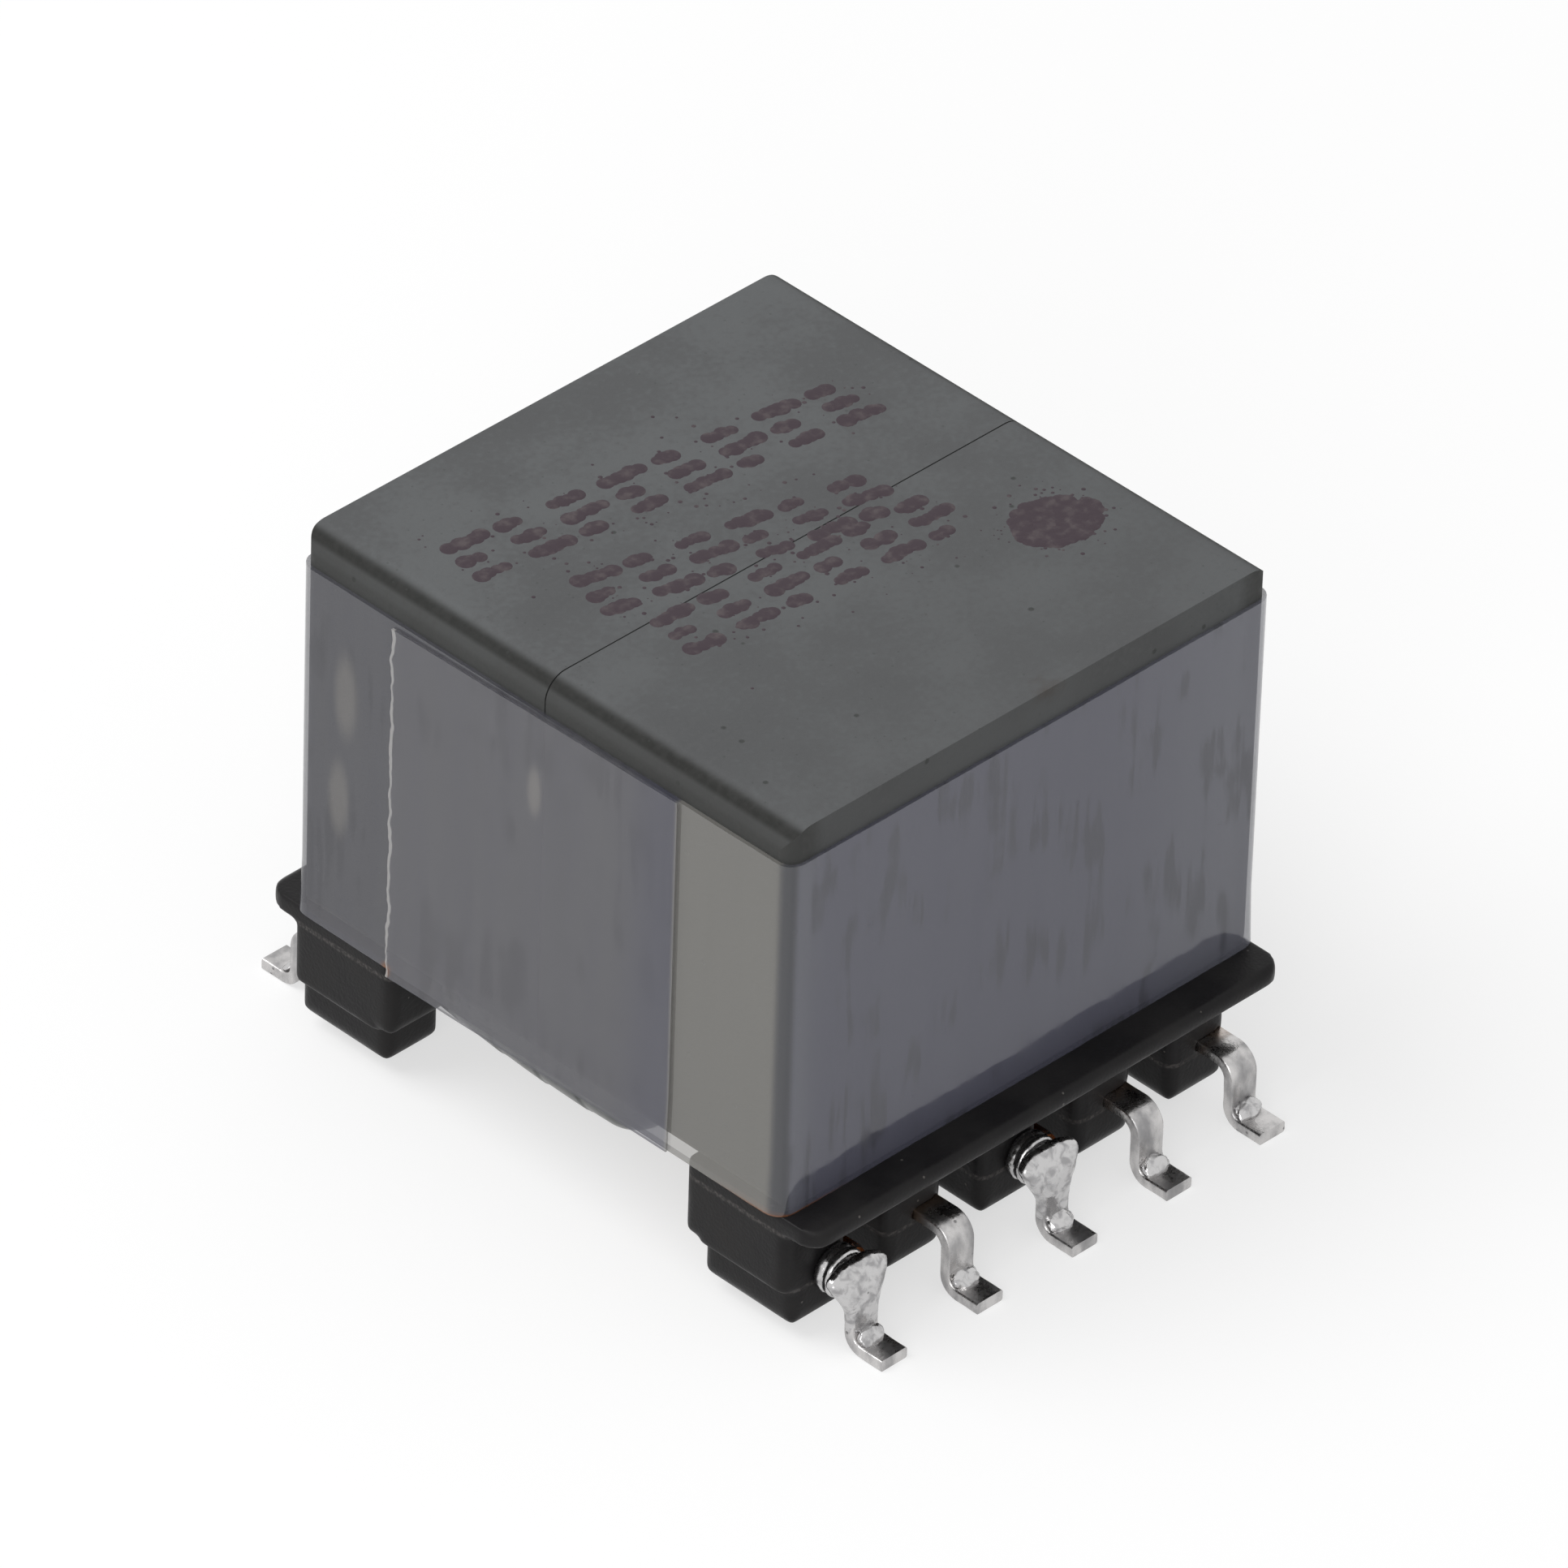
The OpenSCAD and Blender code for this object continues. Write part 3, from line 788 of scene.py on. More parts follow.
@dataclass
class Bobbin:
    """The moulded bobbin: its coil tube with the flanges, and two terminal rails with softened edges."""

    rail_from: float = 3.9
    deck: float = 3.0
    sliver: float = 0.002
    voxel: float = 0.06
    rounds: int = 7
    finish: MouldedBlack = field(default_factory=MouldedBlack)

    def part(self, whole: bmesh.types.BMesh,
             planes: list[tuple[Triple, Triple]]) -> bmesh.types.BMesh:
        """A closed part of the bobbin behind some planes.

        Args:
            whole: The whole bobbin.
            planes: Each plane's point, in millimetres, and the direction in which the rest is cut away.

        Returns:
            The part, its cuts filled.
        """
        shape = whole.copy()
        for place, away in planes:
            bmesh.ops.bisect_plane(shape, geom=shape.verts[:] + shape.edges[:] + shape.faces[:],
                                   plane_co=Vector(place) * MM, plane_no=away, dist=1e-9, clear_outer=True)
            bmesh.ops.holes_fill(shape, edges=[edge for edge in shape.edges if edge.is_boundary])
        bmesh.ops.triangulate(shape, faces=[face for face in shape.faces if len(face.verts) > 4])
        return shape

    def build(self) -> None:
        """Builds and dresses the three parts."""
        material = self.finish.make()
        whole = merged(["bobbin"])
        above, below = (0, 0, self.deck + self.sliver), (0, 0, -1)
        inner = self.rail_from - self.sliver
        for row in Row:
            rail = self.part(whole, [((0, row.value * inner, 0), (0, -row.value, 0)), (above, (0, 0, 1))])
            mesh = remeshed(finished(rail, "rail"), self.voxel, self.rounds)
            name = f"bobbin_rail_{row.name.lower()}"
            paint(piece(name, mesh, ("bobbin",), 180), material)
        tube = self.part(whole, [(above, below)])
        cuts = [((0, -inner, 0), (0, -1, 0)), ((0, inner, 0), (0, 1, 0)), (above, (0, 0, 1))]
        under = self.part(whole, cuts)
        lower = finished(under, "under")
        tube.from_mesh(lower)
        bpy.data.meshes.remove(lower)
        paint(piece("bobbin_tube", finished(tube, "bobbin_tube"), (), 35), material)
        whole.free()


@dataclass
class CoreTape:
    """Two turns of clear film that hold the core halves together, the outer one torn off at the side."""

    half_x: float = 6.28
    half_y: float = 6.48
    bottom: float = 3.0
    top: float = 11.0
    corner: float = 0.36
    thick: float = 0.1
    ripple: float = 0.012
    flare: float = 0.04
    lap_start: float = -3.6
    lap_end: float = 3.9
    lap_out: float = 6.34
    lap_drop: float = 0.14
    step: float = 0.16

    def ring(self, inset: float) -> list[tuple[float, float, float, float]]:
        """The film's line seen from above.

        Args:
            inset: How far inside the outer skin it runs.

        Returns:
            Points as x, y and the outward direction's x and y.
        """
        points: list[tuple[float, float, float, float]] = []
        radius = self.corner - inset
        for quarter, (sx, sy) in enumerate(((1, 1), (-1, 1), (-1, -1), (1, -1))):
            cx, cy = sx * (self.half_x - self.corner), sy * (self.half_y - self.corner)
            for k in range(7):
                angle = math.radians(90 * quarter + 15 * k)
                points.append((cx + radius * math.cos(angle), cy + radius * math.sin(angle),
                               math.cos(angle), math.sin(angle)))
            length = 2 * ((self.half_y if quarter % 2 else self.half_x) - self.corner)
            count = round(length / self.step)
            x0, y0, nx, ny = points[-1]
            tx, ty = -ny, nx
            for k in range(1, count):
                points.append((x0 + tx * length * k / count, y0 + ty * length * k / count, nx, ny))
        return points

    def wobble(self, x: float, y: float, z: float) -> float:
        """How far the outer skin stands off its flat place at a point, in millimetres."""
        broad = noise.noise(Vector((x * 0.45, y * 0.45, z * 0.16)))
        narrow = noise.noise(Vector((x * 1.6 + 9, y * 1.6, z * 0.12)))
        flare = self.flare * max(0.0, 1 - (z - self.bottom) / 1.2)
        return self.ripple * (0.8 * broad + 0.6 * narrow) + flare

    def band(self) -> bpy.types.Mesh:
        """The closed band round the core."""
        outer, inner = self.ring(0.0), self.ring(self.thick)
        rows = round((self.top - self.bottom) / self.step)
        shape = bmesh.new()
        skins = []
        for line, outside in ((outer, True), (inner, False)):
            skin = []
            for row in range(rows + 1):
                z = self.bottom + (self.top - self.bottom) * row / rows
                loop = []
                for x, y, nx, ny in line:
                    off = self.wobble(x, y, z) if outside else 0.0
                    loop.append(shape.verts.new(((x + nx * off) * MM, (y + ny * off) * MM, z * MM)))
                skin.append(loop)
            skins.append(skin)
        count = len(outer)
        for k in range(count):
            after = (k + 1) % count
            o, i = skins
            for row in range(rows):
                shape.faces.new((o[row][k], o[row][after], o[row + 1][after], o[row + 1][k]))
                back = shape.faces.new((i[row][after], i[row][k], i[row + 1][k], i[row + 1][after]))
                back.material_index = 1
            shape.faces.new((o[rows][k], o[rows][after], i[rows][after], i[rows][k]))
            shape.faces.new((i[0][k], i[0][after], o[0][after], o[0][k]))
        return finished(shape, "core_tape_film")

    def lap(self) -> bpy.types.Mesh:
        """The closed sheet of the outer turn where it ends on the left side, wound a little askew."""
        bottom, top = self.bottom, self.top
        rows, columns = round((top - bottom) / 0.08), round((self.lap_end - self.lap_start) / 0.15)
        shape = bmesh.new()
        gap = shape.verts.layers.float.new("gap")
        skins = []
        for outside in (True, False):
            skin = []
            for row in range(rows + 1):
                z = bottom + (top - bottom) * row / rows
                coarse = noise.noise(Vector((3.1, 0, z * 2.1)))
                fine = noise.noise(Vector((0, 5.5, z * 7)))
                tear = 0.07 * coarse + 0.035 * fine
                end = self.lap_end + tear
                line = []
                for column in range(columns + 1):
                    y = self.lap_start + (end - self.lap_start) * column / columns
                    off = self.wobble(-self.half_x, y, z)
                    x = -(self.lap_out + off) if outside else -(self.half_x + off + 0.01)
                    askew = self.lap_drop * column / columns
                    vertex = shape.verts.new((x * MM, y * MM, (z - askew) * MM))
                    vertex[gap] = end - y
                    line.append(vertex)
                skin.append(line)
            skins.append(skin)
        o, i = skins
        for row in range(rows):
            for column in range(columns):
                shape.faces.new((o[row][column + 1], o[row][column],
                                 o[row + 1][column], o[row + 1][column + 1]))
                back = shape.faces.new((i[row][column], i[row][column + 1], i[row + 1][column + 1],
                                        i[row + 1][column]))
                back.material_index = 1
            shape.faces.new((o[row][0], i[row][0], i[row + 1][0], o[row + 1][0]))
            shape.faces.new((i[row][-1], o[row][-1], o[row + 1][-1], i[row + 1][-1]))
        for column in range(columns):
            shape.faces.new((o[0][column], o[0][column + 1], i[0][column + 1], i[0][column]))
            shape.faces.new((i[-1][column], i[-1][column + 1], o[-1][column + 1], o[-1][column]))
        spread = shape.loops.layers.uv.new("to_tear")
        for face in shape.faces:
            for loop in face.loops:
                loop[spread].uv = (loop.vert[gap], loop.vert.co.z / MM)
        return finished(shape, "core_tape_lap_film")

    def build(self) -> None:
        """Builds and dresses both turns."""
        back = FilmBack().make()
        band = piece("core_tape_film", self.band(), ("core_tape",))
        paint(band, ClearTape().make(), back)
        lap = piece("core_tape_lap_film", self.lap(), ("core_tape_lap",))
        paint(lap, ClearTape(name="clear_tape_lap", torn=True).make(), back)


@dataclass
class Terminals:
    """Ten tinned strips, bent in an S from the rails to the board."""

    count: int = 5
    pitch: float = 2.5
    width: float = 0.68
    thick: float = 0.25
    root: float = 5.1
    height: float = 1.375
    leg: float = 7.425
    toe: float = 8.3
    knee: float = 0.375
    ankle: float = 0.325
    soft: float = 0.05
    uneven: float = 0.02

    def build(self, material: bpy.types.Material) -> None:
        """Builds both rows.

        Args:
            material: The strip's finish.
        """
        line = [(0, self.root, self.height), (0, self.leg, self.height), (0, self.leg, self.thick / 2),
                (0, self.toe, self.thick / 2)]
        grower = Grower("terminal_rows")
        length = {n: grower.size(n, "Float", v * MM) for n, v in (
            ("Width", self.width), ("Thickness", self.thick), ("Pitch", self.pitch),
            ("Knee radius", self.knee), ("Ankle radius", self.ankle), ("Edge radius", self.soft),
            ("Unevenness", self.uneven))}
        count = grower.size("Terminals in a row", "Int", self.count)
        dress = grower.size("Finish", "Material", material)
        path = grower.put("GeometryNodeMeshToCurve", {0: grower.source.outputs[0]}).outputs[0]
        index = grower.put("GeometryNodeInputIndex", {}).outputs[0]
        first = grower.put("FunctionNodeCompare", {2: index, 3: 1}, data_type="INT",
                           operation="EQUAL").outputs[0]
        bends = {0: first, 1: length["Ankle radius"], 2: length["Knee radius"]}
        radius = grower.put("GeometryNodeSwitch", bends, input_type="FLOAT").outputs[0]
        path = grower.put("GeometryNodeFilletCurve", {"Curve": path, "Radius": radius, "Count": 14,
                                                      "Limit Radius": True}, mode="POLY").outputs[0]
        path = grower.put("GeometryNodeResampleCurve", {"Curve": path, "Length": 0.07 * MM},
                          mode="LENGTH").outputs[0]
        outline = grower.put("GeometryNodeCurvePrimitiveQuadrilateral",
                             {"Width": length["Width"], "Height": length["Thickness"]}).outputs[0]
        outline = grower.put("GeometryNodeFilletCurve", {"Curve": outline, "Radius": length["Edge radius"],
                                                         "Count": 3}, mode="POLY").outputs[0]
        strip = grower.put("GeometryNodeCurveToMesh", {"Curve": path, "Profile Curve": outline,
                                                       "Fill Caps": True}).outputs[0]
        start = grower.put("ShaderNodeMath", {0: length["Pitch"], 1: -(self.count - 1) / 2},
                           operation="MULTIPLY").outputs[0]
        begin = grower.put("ShaderNodeCombineXYZ", {0: start}).outputs[0]
        stride = grower.put("ShaderNodeCombineXYZ", {0: length["Pitch"]}).outputs[0]
        places = grower.put("GeometryNodeMeshLine", {"Count": count, "Start Location": begin,
                                                     "Offset": stride}).outputs[0]
        rear = grower.put("GeometryNodeInstanceOnPoints", {"Points": places, "Instance": strip}).outputs[0]
        front = grower.put("GeometryNodeTransform",
                           {"Geometry": rear, "Rotation": (0, 0, math.pi)}).outputs[0]
        rows = grower.put("GeometryNodeRealizeInstances", {0: grower.join(rear, front)}).outputs[0]
        lumps = grower.put("ShaderNodeTexNoise", {"Scale": 2200.0, "Detail": 2.0}).outputs["Fac"]
        height = grower.put("ShaderNodeMath", {0: lumps, 1: 0.5}, operation="SUBTRACT").outputs[0]
        height = grower.put("ShaderNodeMath", {0: height, 1: length["Unevenness"]},
                            operation="MULTIPLY").outputs[0]
        normal = grower.put("GeometryNodeInputNormal", {}).outputs[0]
        offset = grower.put("ShaderNodeVectorMath", {0: normal, "Scale": height},
                            operation="SCALE").outputs[0]
        rows = grower.put("GeometryNodeSetPosition", {"Geometry": rows, "Offset": offset}).outputs[0]
        mesh = grower.grow(polyline(line), rows, dress)
        nodes = tuple(f"terminal_{row.name.lower()}_{i + 1}" for row in Row for i in range(self.count))
        piece("terminal_rows", mesh, nodes)


@dataclass
class Joints:
    """The soldered wire ends: a drum of turns round the strip's root and a fan of solder down to its leg.

    The fan is given as levels: height, half width, and where its back and front lie along Y.
    """

    wired: tuple[tuple[Row, int], ...] = ((Row.FRONT, 0), (Row.FRONT, 2), (Row.REAR, 1), (Row.REAR, 3))
    pitch: float = 2.5
    count: int = 5
    axis: float = 1.375
    drum: tuple[tuple[float, float], ...] = ((6.6, 0.3), (6.62, 0.44), (6.68, 0.5), (6.8, 0.5), (6.86, 0.475),
                                             (6.92, 0.5), (7.0, 0.49), (7.04, 0.43), (7.05, 0.3))
    fan: tuple[tuple[float, float, float, float], ...] = (
        (0.42, 0.34, 7.28, 7.56), (0.5, 0.365, 7.265, 7.585), (0.85, 0.38, 7.24, 7.605),
        (1.02, 0.43, 7.17, 7.61), (1.2, 0.53, 7.1, 7.6),
        (1.38, 0.63, 7.06, 7.57), (1.52, 0.71, 7.06, 7.52), (1.62, 0.72, 7.06, 7.46), (1.7, 0.66, 7.07, 7.41),
        (1.78, 0.52, 7.09, 7.36), (1.84, 0.32, 7.12, 7.3))
    lumps: float = 0.014
    sides: int = 36

    def skin(self, rings: list[list[Vector]], seed: float) -> bmesh.types.BMesh:
        """A closed skin over rings of points, made finer and a little lumpy.

        Args:
            rings: The rings, each with as many points.
            seed: Where in the noise the lumps are taken.

        Returns:
            The skin, in millimetres.
        """
        shape = bmesh.new()
        loops = [[shape.verts.new(p) for p in ring] for ring in rings]
        for low, high in zip(loops, loops[1:]):
            for k in range(len(low)):
                after = (k + 1) % len(low)
                shape.faces.new((low[k], low[after], high[after], high[k]))
        for loop in (loops[0], loops[-1]):
            middle = shape.verts.new(sum((v.co for v in loop), Vector()) / len(loop))
            for k in range(len(loop)):
                shape.faces.new((loop[k], loop[(k + 1) % len(loop)], middle))
        bmesh.ops.recalc_face_normals(shape, faces=shape.faces)
        bmesh.ops.subdivide_edges(shape, edges=shape.edges, cuts=1, smooth=0.6, use_grid_fill=True)
        shape.normal_update()
        for vertex in shape.verts:
            at = vertex.co + Vector((seed, seed * 1.7, 0))
            lump = noise.noise(at * 3.0) + 0.55 * noise.noise(at * 8.0) + 0.3 * noise.noise(at * 17.0)
            vertex.co += vertex.normal * lump * self.lumps
        return shape

    def joint(self, row: Row, index: int) -> bpy.types.Mesh:
        """One joint's mesh.

        Args:
            row: The row of the terminal.
            index: Its place in the row, from the left.

        Returns:
            The mesh, in place.
        """
        x0, side = (index - (self.count - 1) / 2) * self.pitch, row.value
        seed = 3.0 * index + side
        turn = [2 * math.pi * k / self.sides for k in range(self.sides)]
        drum = [[Vector((x0 + r * math.cos(a), side * y, self.axis + r * math.sin(a))) for a in turn]
                for y, r in self.drum]
        fan = []
        for z, half, back, front in self.fan:
            ring = []
            for a in turn:
                c, s = math.cos(a), math.sin(a)
                px = half * math.copysign(abs(c) ** 0.75, c)
                py = (front - back) / 2 * math.copysign(abs(s) ** 0.7, s)
                ring.append(Vector((x0 + px, side * ((front + back) / 2 + py), z)))
            fan.append(ring)
        whole = bmesh.new()
        for part in (self.skin(drum, seed), self.skin(fan, seed + 9)):
            mesh = finished(part, "part")
            whole.from_mesh(mesh)
            bpy.data.meshes.remove(mesh)
        bmesh.ops.scale(whole, vec=(MM, MM, MM), verts=whole.verts)
        return finished(whole, "solder_joint")

    def ankles(self) -> bpy.types.Mesh:
        """The blobs of solder in the outer bend over each strip's foot."""
        whole = bmesh.new()
        for row in Row:
            for index in range(self.count):
                x0 = (index - (self.count - 1) / 2) * self.pitch
                made = bmesh.ops.create_icosphere(whole, subdivisions=4, radius=1.0)["verts"]
                for vertex in made:
                    p = vertex.co.copy()
                    at = p * 1.6 + Vector((index * 3.1, row.value * 2.3, 0))
                    swell = 1 + 0.2 * noise.noise(at) + 0.06 * noise.noise(at * 3.2)
                    across, out, up = p.x * 0.3 * swell, p.y * 0.22 * swell, p.z * 0.1 * swell
                    y = 7.68 + out * 0.72 + up * 0.69
                    z = 0.34 - out * 0.69 + up * 0.72
                    vertex.co = Vector((x0 + across, row.value * y, z)) * MM
        bmesh.ops.recalc_face_normals(whole, faces=whole.faces)
        return finished(whole, "ankle_solder")

    def build(self, material: bpy.types.Material) -> None:
        """Builds the four joints and the blobs.

        Args:
            material: The solder's finish.
        """
        for row, index in self.wired:
            name = f"{row.name.lower()}_{index + 1}"
            obj = piece(f"solder_joint_{name}", self.joint(row, index),
                        (f"turns_{name}", f"solder_{name}"), 70)
            paint(obj, material)
        paint(piece("ankle_solder", self.ankles(), (), 180), material)


@dataclass
class Coil:
    """The windings, their wraps and the insulated bundle of leads under the core."""

    copper: tuple[str, ...] = ("winding_primary_inner", "winding_secondary", "winding_primary_outer")
    layers: tuple[str, ...] = ("tape_inner", "tape_middle")
    leads: tuple[str, ...] = ("lead_front_1", "lead_front_3", "lead_rear_2", "lead_rear_4")
    bundle_x: float = -4.3
    bundle_z: float = 2.1
    bundle_radius: float = 0.96
    bundle_sag: float = 0.17
    bundle_taper: float = 0.06
    bundle_turn: float = 1.15
    bundle_step: float = 0.025
    bundle_front: float = -1.76
    bundle_back: float = 3.84

    def dress(self) -> None:
        """Gives each piece its finish."""
        enamel = Enamel().make()
        for name in self.copper + self.leads:
            paint(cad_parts[name], enamel)
        film = WrapFilm("layer_tape", (196, 178, 120), (150, 128, 78)).make()
        for name in self.layers:
            paint(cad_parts[name], film)
        paint(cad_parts["coil_wrap"], WrapFilm("coil_wrap_tape", (176, 150, 124), (128, 104, 84)).make())
        log.info("coil dressed")
        paint(piece("lead_bundle_wrap", self.bundle(), ("lead_bundle",)),
              WrapFilm("bundle_sleeve", (44, 50, 46), (26, 29, 27)).make())

    def bundle(self) -> bpy.types.Mesh:
        """The sagging bundle of lead-outs, wrapped in tape whose turns overlap."""
        shape = bmesh.new()
        rows, sides = 110, 56
        length = self.bundle_back - self.bundle_front
        loops = []
        for row in range(rows + 1):
            share = row / rows
            from_end = share * length
            swell = math.sqrt(max(0.0, 1 - max(0.0, 1 - from_end / self.bundle_radius) ** 2))
            radius = self.bundle_radius * max(swell, 0.02) * (1 - self.bundle_taper * share)
            sag = self.bundle_sag * math.sin(math.pi * share) ** 0.8
            loop = []
            for k in range(sides):
                angle = 2 * math.pi * k / sides
                turn = (from_end / self.bundle_turn + k / sides) % 1.0
                r = radius * (1 + self.bundle_step * (1 - turn) * min(1.0, swell))
                loop.append(shape.verts.new(((self.bundle_x + r * math.cos(angle)) * MM,
                                             (self.bundle_front + from_end) * MM,
                                             (self.bundle_z - sag + r * math.sin(angle)) * MM)))
            loops.append(loop)
        for low, high in zip(loops, loops[1:]):
            for k in range(sides):
                shape.faces.new((low[k], high[k], high[(k + 1) % sides], low[(k + 1) % sides]))
        shape.faces.new(loops[0])
        shape.faces.new(loops[-1])
        bmesh.ops.recalc_face_normals(shape, faces=shape.faces)
        return finished(shape, "lead_bundle_wrap")


@dataclass
class Marks:
    """Printed marks on the core's top: a round dot and rows of plain strokes."""

    top: float = 11.75
    film: float = 0.012
    bead: float = 0.165
    drop: float = 0.05
    stroke_drops: int = 13
    stray: float = 0.75
    dot_drops: int = 60
    dot_stray: float = 0.22
    seed: int = 7
    dot: tuple[float, float] = (4.17, -2.76)
    dot_size: tuple[float, float] = (0.9, 0.72)
    rows: tuple[tuple[tuple[float, float], tuple[float, float], int], ...] = (
        ((-5.0, 3.65), (4.6, 2.45), 8), ((-3.95, 1.3), (2.7, 0.0), 6), ((-3.7, -0.6), (3.2, -1.2), 6))

    def strokes(self) -> bpy.types.Mesh:
        """The carrier: one short line for each stroke, in rows, and a coil of points for the dot."""
        points: list[Triple] = []
        edges: list[tuple[int, int]] = []
        for (x0, y0), (x1, y1), count in self.rows:
            step = Vector(((x1 - x0) / count, (y1 - y0) / count))
            across = Vector((-step.y, step.x)).normalized()
            for k in range(count):
                for line in (-1, 0, 1):
                    start = Vector((x0, y0)) + step * (k + 0.2) + across * 0.52 * line
                    end = start + step * (0.25, 0.62, 0.42)[(2 * k + line) % 3]
                    points += [(start.x, start.y, self.top), (end.x, end.y, self.top)]
                    edges.append((len(points) - 2, len(points) - 1))
        turns, first = 4, len(points)
        for k in range(60):
            share = k / 59
            angle = share * turns * 2 * math.pi
            points.append((self.dot[0] + self.dot_size[0] * share * math.cos(angle),
                           self.dot[1] + self.dot_size[1] * share * math.sin(angle), self.top))
            if k:
                edges.append((first + k - 1, first + k))
        mesh = bpy.data.meshes.new("strokes")
        mesh.from_pydata([[c * MM for c in p] for p in points], edges, [])
        return mesh

    def build(self) -> None:
        """Builds the marks from ink beads that follow the strokes."""
        grower = Grower("ink_beads")
        bead = grower.size("Bead radius", "Float", self.bead * MM)
        film = grower.size("Ink thickness", "Float", self.film * MM)
        spacing = grower.size("Spacing", "Float", 0.13 * MM)
        seed = grower.size("Seed", "Int", self.seed)
        ink = Ink().make()
        dress = grower.size("Finish", "Material", ink)
        path = grower.put("GeometryNodeMeshToCurve", {0: grower.source.outputs[0]}).outputs[0]
        dots = grower.put("GeometryNodeCurveToPoints", {"Curve": path, "Length": spacing},
                          mode="LENGTH").outputs[0]
        jitter = grower.put("FunctionNodeRandomValue", {"Min": (-0.03 * MM, -0.03 * MM, 0),
                                                        "Max": (0.03 * MM, 0.03 * MM, 0), "Seed": seed},
                            data_type="FLOAT_VECTOR").outputs[0]
        dots = grower.put("GeometryNodeSetPosition", {"Geometry": dots, "Offset": jitter}).outputs[0]
        drop = grower.put("GeometryNodeMeshUVSphere", {"Segments": 14, "Rings": 6, "Radius": bead}).outputs[0]
        flat = grower.put("ShaderNodeMath", {0: film, 1: bead}, operation="DIVIDE").outputs[0]
        squash = grower.put("ShaderNodeCombineXYZ", {0: 1.0, 1: 1.0, 2: flat}).outputs[0]
        drop = grower.put("GeometryNodeTransform", {"Geometry": drop, "Scale": squash}).outputs[0]
        size = grower.put("FunctionNodeRandomValue", {2: 0.8, 3: 1.25, "Seed": seed},
                          data_type="FLOAT").outputs[1]
        spread = grower.put("ShaderNodeCombineXYZ", {0: size, 1: size, 2: 1.0}).outputs[0]
        beads = grower.put("GeometryNodeInstanceOnPoints", {"Points": dots, "Instance": drop,
                                                            "Scale": spread}).outputs[0]
        piece("top_marks", grower.grow(self.strokes(), beads, dress))
        self.splatter(ink)

    def splatter(self, ink: bpy.types.Material) -> None:
        """Builds the fine drops of ink that the printing left round the strokes.

        Args:
            ink: The finish of the strokes.
        """
        pick = np.random.default_rng(self.seed)
        drops = []
        for (x0, y0), (x1, y1), count in self.rows:
            drop_count = self.stroke_drops * count
            for share, lift in zip(pick.random(drop_count), pick.normal(0, self.stray, drop_count)):
                drops.append((x0 + (x1 - x0) * share, y0 + (y1 - y0) * share + lift, self.top))
        angles = pick.random(self.dot_drops) * 2 * math.pi
        reaches = pick.normal(1.0, self.dot_stray, self.dot_drops)
        for angle, reach in zip(angles, reaches):
            x, y = self.dot[0] + reach * math.cos(angle), self.dot[1] + reach * 0.85 * math.sin(angle)
            drops.append((x, y, self.top))
        carrier = bpy.data.meshes.new("drops")
        carrier.from_pydata([[c * MM for c in d] for d in drops], [], [])
        grower = Grower("ink_drops")
        bead = grower.size("Drop radius", "Float", self.drop * MM)
        film = grower.size("Flatness", "Float", 0.2)
        seed = grower.size("Seed", "Int", self.seed)
        dress = grower.size("Finish", "Material", ink)
        drop = grower.put("GeometryNodeMeshUVSphere", {"Segments": 8, "Rings": 4, "Radius": bead}).outputs[0]
        squash = grower.put("ShaderNodeCombineXYZ", {0: 1.0, 1: 1.0, 2: film}).outputs[0]
        drop = grower.put("GeometryNodeTransform", {"Geometry": drop, "Scale": squash}).outputs[0]
        size = grower.put("FunctionNodeRandomValue", {2: 0.25, 3: 1.0, "Seed": seed},
                          data_type="FLOAT").outputs[1]
        places = {"Points": grower.source.outputs[0], "Instance": drop, "Scale": size}
        drops_out = grower.put("GeometryNodeInstanceOnPoints", places).outputs[0]
        piece("ink_drops", grower.grow(carrier, drops_out, dress))


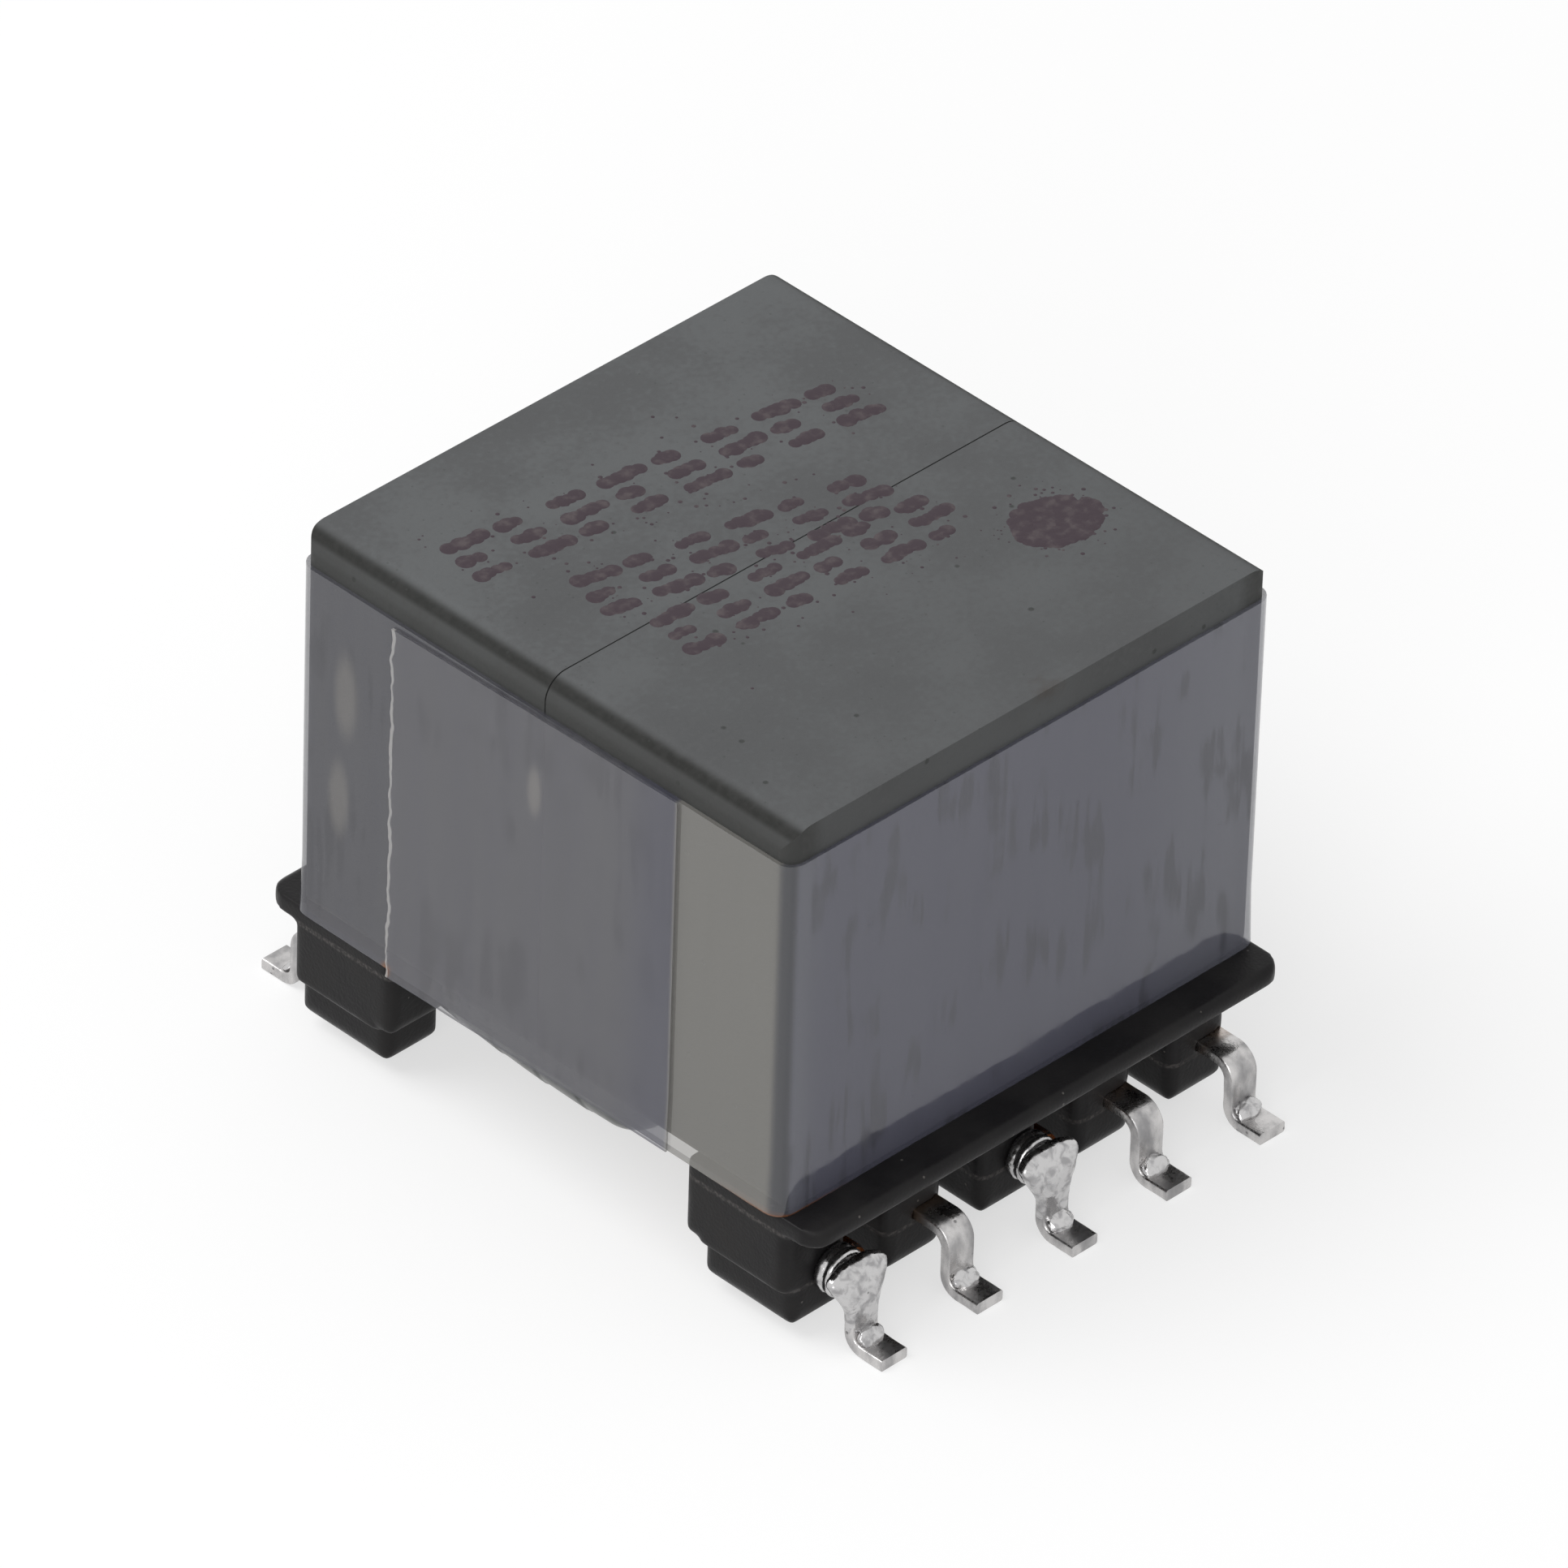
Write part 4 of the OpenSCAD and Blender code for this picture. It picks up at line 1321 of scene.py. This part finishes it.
@dataclass
class Studio:
    """Plain pale floor, soft light and the camera."""

    turn: float = -45.786
    rise: float = 36.774
    roll: float = 1.930
    reach: float = 337.84
    aim: Triple = (0.0, 0.0, 5.0)
    slide: tuple[float, float] = (-0.118, -1.0004)
    lens: float = 415.69
    sensor: float = 36.0

    def camera(self) -> None:
        """Places the camera."""
        turn, rise, roll = (math.radians(a) for a in (self.turn, self.rise, self.roll))
        back = Vector((math.sin(turn) * math.cos(rise), -math.cos(turn) * math.cos(rise), math.sin(rise)))
        right = Vector((math.cos(turn), math.sin(turn), 0))
        up = back.cross(right)
        right, up = (math.cos(roll) * right + math.sin(roll) * up,
                     -math.sin(roll) * right + math.cos(roll) * up)
        eye = Vector(self.aim) + back * self.reach - right * self.slide[0] - up * self.slide[1]
        lens = bpy.data.cameras.new("camera")
        lens.lens, lens.sensor_width = self.lens, self.sensor
        lens.clip_start, lens.clip_end = 0.01, 10.0
        obj = bpy.data.objects.new("camera", lens)
        obj.matrix_world = Matrix.Translation(eye * MM) @ Matrix((right, up, back)).transposed().to_4x4()
        bpy.context.scene.collection.objects.link(obj)
        bpy.context.scene.camera = obj

    def lamp(self, name: str, place: Triple, size: float, power: float) -> None:
        """Adds a soft box that faces the part.

        Args:
            name: The lamp's name.
            place: Where it hangs, in millimetres.
            size: Its width in millimetres.
            power: Its power in watts.
        """
        data = bpy.data.lights.new(name, "AREA")
        data.shape, data.size, data.energy = "DISK", size * MM, power
        obj = bpy.data.objects.new(name, data)
        obj.location = Vector(place) * MM
        obj.rotation_euler = (Vector((0, 0, 5)) - Vector(place)).to_track_quat("-Z", "Y").to_euler()
        bpy.context.scene.collection.objects.link(obj)

    def floor(self) -> None:
        """Lays the floor, which is white to the eye and keeps the part's shadow."""
        mesh = bpy.data.meshes.new("floor")
        mesh.from_pydata([(-3, -3, 0), (3, -3, 0), (3, 3, 0), (-3, 3, 0)], [], [(0, 1, 2, 3)])
        obj = bpy.data.objects.new("floor", mesh)
        bpy.context.scene.collection.objects.link(obj)
        mix = Recipe("floor")
        rays = mix.put("ShaderNodeLightPath", {})
        plain = mix.calc("MAXIMUM", rays.outputs["Is Camera Ray"], rays.outputs["Is Glossy Ray"])
        seen = mix.calc("MAXIMUM", plain, rays.outputs["Is Transmission Ray"])
        cloth = mix.put("ShaderNodeBsdfDiffuse", {"Color": (0.8, 0.8, 0.8, 1)})
        glow = mix.put("ShaderNodeEmission", {"Color": (1, 1, 1, 1), "Strength": 1.25})
        share = mix.calc("MULTIPLY", seen, 0.5)
        both = mix.put("ShaderNodeMixShader", {0: share, 1: cloth.outputs[0], 2: glow.outputs[0]})
        mix.put("ShaderNodeOutputMaterial", {"Surface": both.outputs[0]})
        paint(obj, mix.material)

    def sky(self) -> None:
        """Sets the even light all round, white to the eye and to gloss."""
        world = bpy.data.worlds.new("studio")
        bpy.context.scene.world = world
        world.use_nodes = True
        tree = world.node_tree
        tree.nodes.clear()
        rays = tree.nodes.new("ShaderNodeLightPath")
        first, second = tree.nodes.new("ShaderNodeMath"), tree.nodes.new("ShaderNodeMath")
        for node in (first, second):
            node.operation = "MAXIMUM"
        tree.links.new(rays.outputs["Is Camera Ray"], first.inputs[0])
        tree.links.new(rays.outputs["Is Glossy Ray"], first.inputs[1])
        tree.links.new(first.outputs[0], second.inputs[0])
        tree.links.new(rays.outputs["Is Transmission Ray"], second.inputs[1])
        soft, white = tree.nodes.new("ShaderNodeBackground"), tree.nodes.new("ShaderNodeBackground")
        soft.inputs["Strength"].default_value = 0.5
        soft.inputs["Color"].default_value = (1, 1, 1, 1)
        white.inputs["Color"].default_value = (1, 1, 1, 1)
        mixed, output = tree.nodes.new("ShaderNodeMixShader"), tree.nodes.new("ShaderNodeOutputWorld")
        tree.links.new(second.outputs[0], mixed.inputs[0])
        tree.links.new(soft.outputs[0], mixed.inputs[1])
        tree.links.new(white.outputs[0], mixed.inputs[2])
        tree.links.new(mixed.outputs[0], output.inputs["Surface"])

    def build(self) -> None:
        """Sets up the whole studio."""
        self.camera()
        self.floor()
        self.sky()
        self.lamp("key", (-160, 120, 330), 260, 0.7)
        self.lamp("side", (-300, -200, 170), 220, 0.38)
        bpy.context.scene.view_settings.view_transform = "Standard"


def main() -> None:
    """Builds the part's look piece by piece."""
    logging.basicConfig(level=logging.INFO, format="%(name)s: %(message)s")
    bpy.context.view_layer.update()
    Studio().build()
    Core().dress()
    Bobbin().build()
    Coil().dress()
    CoreTape().build()
    Terminals().build(TinnedStrip().make())
    Joints().build(Solder().make())
    Marks().build()


if __name__ == "__main__":
    main()
